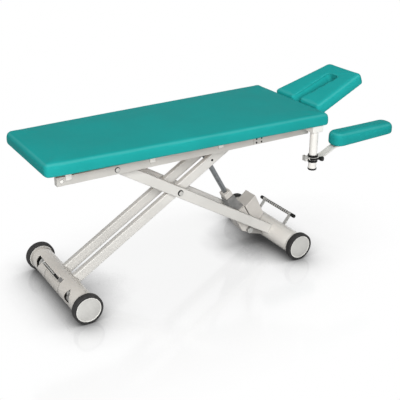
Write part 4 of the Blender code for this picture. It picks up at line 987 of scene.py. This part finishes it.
def make_room():
    """A faint even room that is plain white where it is seen."""
    scene = bpy.context.scene
    scene.view_settings.view_transform = "Standard"
    world = bpy.data.worlds.new("studio")
    scene.world = world
    world.use_nodes = True
    tree = world.node_tree
    lit = add_node(tree, "ShaderNodeBackground", {"Color": (1, 1, 1, 1), "Strength": AMBIENT})
    shown = add_node(tree, "ShaderNodeBackground", {"Color": (1, 1, 1, 1), "Strength": 1.0})
    mixed = add_node(tree, "ShaderNodeMixShader", links={
        "Fac": seen_directly(tree), "Shader": lit.outputs["Background"],
        "Shader_001": shown.outputs["Background"]})
    tree.links.new(mixed.outputs["Shader"], tree.nodes["World Output"].inputs["Surface"])


def studio_floor():
    """White lacquered studio floor: shaded under the object, with a faint mirror image at the front."""
    values = {"Base Color": linear("#a8a8a8"), "Roughness": 0.5}
    material, tree, shader, place = new_material("studio_floor", values)
    near = add_node(tree, "ShaderNodeAmbientOcclusion", {"samples": 16, "Distance": FLOOR_SHADE_REACH})
    clear = add_node(tree, "ShaderNodeMapRange", {"From Max": FLOOR_CLEAR}, {"Value": near.outputs["AO"]})
    shade = add_node(tree, "ShaderNodeMath", {"operation": "POWER", "Value_001": FLOOR_SHADE_DEPTH},
                     {"Value": clear.outputs["Result"]})
    wide = add_node(tree, "ShaderNodeAmbientOcclusion", {"samples": 16, "Distance": FLOOR_VEIL_REACH})
    veil = add_node(tree, "ShaderNodeMapRange",
                    {"From Min": FLOOR_VEIL_FULL, "From Max": FLOOR_VEIL_CLEAR, "To Min": FLOOR_VEIL},
                    {"Value": wide.outputs["AO"]})
    both = add_node(tree, "ShaderNodeMath", {"operation": "MULTIPLY"},
                    {"Value": shade.outputs["Value"], "Value_001": veil.outputs["Result"]})
    glow = add_node(tree, "ShaderNodeEmission", {"Color": (1, 1, 1, 1)}, {"Strength": both.outputs["Value"]})
    mirror = add_node(tree, "ShaderNodeBsdfGlossy", {"Color": (1, 1, 1, 1), "Roughness": 0.12})
    across = add_node(tree, "ShaderNodeSeparateXYZ", links={"Vector": place})
    polish = add_node(tree, "ShaderNodeMapRange",
                      {"From Min": FLOOR_GLOSS_FAR, "From Max": FLOOR_GLOSS_NEAR, "To Max": FLOOR_GLOSS},
                      {"Value": across.outputs["Y"]})
    shown = add_node(tree, "ShaderNodeMixShader", links={
        "Fac": polish.outputs["Result"], "Shader": glow.outputs["Emission"],
        "Shader_001": mirror.outputs["BSDF"]})
    surface = add_node(tree, "ShaderNodeMixShader", links={
        "Fac": seen_directly(tree), "Shader": shader.outputs["BSDF"], "Shader_001": shown.outputs["Shader"]})
    tree.links.new(surface.outputs["Shader"], tree.nodes["Material Output"].inputs["Surface"])
    return material


def make_floor():
    """A wide plain floor just below the wheels."""
    bm = bmesh.new()
    bmesh.ops.create_grid(bm, x_segments=1, y_segments=1, size=FLOOR_HALF)
    mesh = bpy.data.meshes.new("floor")
    bm.to_mesh(mesh)
    bm.free()
    mesh.materials.append(studio_floor())
    floor = bpy.data.objects.new("floor", mesh)
    bpy.context.scene.collection.objects.link(floor)
    floor.location.z = -FLOOR_DROP


def make_lamps():
    """A round softbox for the modelling, and a broad light from above that fills the tops."""
    softbox = bpy.data.lights.new("softbox", "AREA")
    softbox.shape = "DISK"
    softbox.size = SOFTBOX_WIDTH
    softbox.energy = SOFTBOX_POWER
    overhead = bpy.data.lights.new("overhead", "SUN")
    overhead.energy = OVERHEAD_STRENGTH
    overhead.angle = OVERHEAD_SOFTNESS
    for data, at, aim in ((softbox, SOFTBOX_AT, SOFTBOX_AIM), (overhead, OVERHEAD_AT, OVERHEAD_AIM)):
        lamp = bpy.data.objects.new(data.name, data)
        bpy.context.scene.collection.objects.link(lamp)
        lamp.location = at
        lamp.rotation_mode = "QUATERNION"
        lamp.rotation_quaternion = (aim - at).to_track_quat("-Z", "Y")
        lamp.visible_camera = False


def main():
    """Builds the stage, dresses the frame, and adds the covers and fittings."""
    for leftover in list(bpy.data.objects):
        bpy.data.objects.remove(leftover)
    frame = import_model()
    make_camera()
    make_room()
    make_floor()
    make_lamps()

    finish = make_finishes()
    dress_frame(frame, finish)
    make_main_pad(finish["vinyl"])
    make_head_pad(finish["head_vinyl_painted_light"])
    make_arm_pads(finish["vinyl"])
    for make in (make_rail_fittings, make_scissor_fittings, make_cover_seam_shade, make_wheels, make_foot_fittings,
                 make_pedal_caps, make_arm_fittings, make_drive_fittings, make_hinge_fittings):
        make(finish)


main()
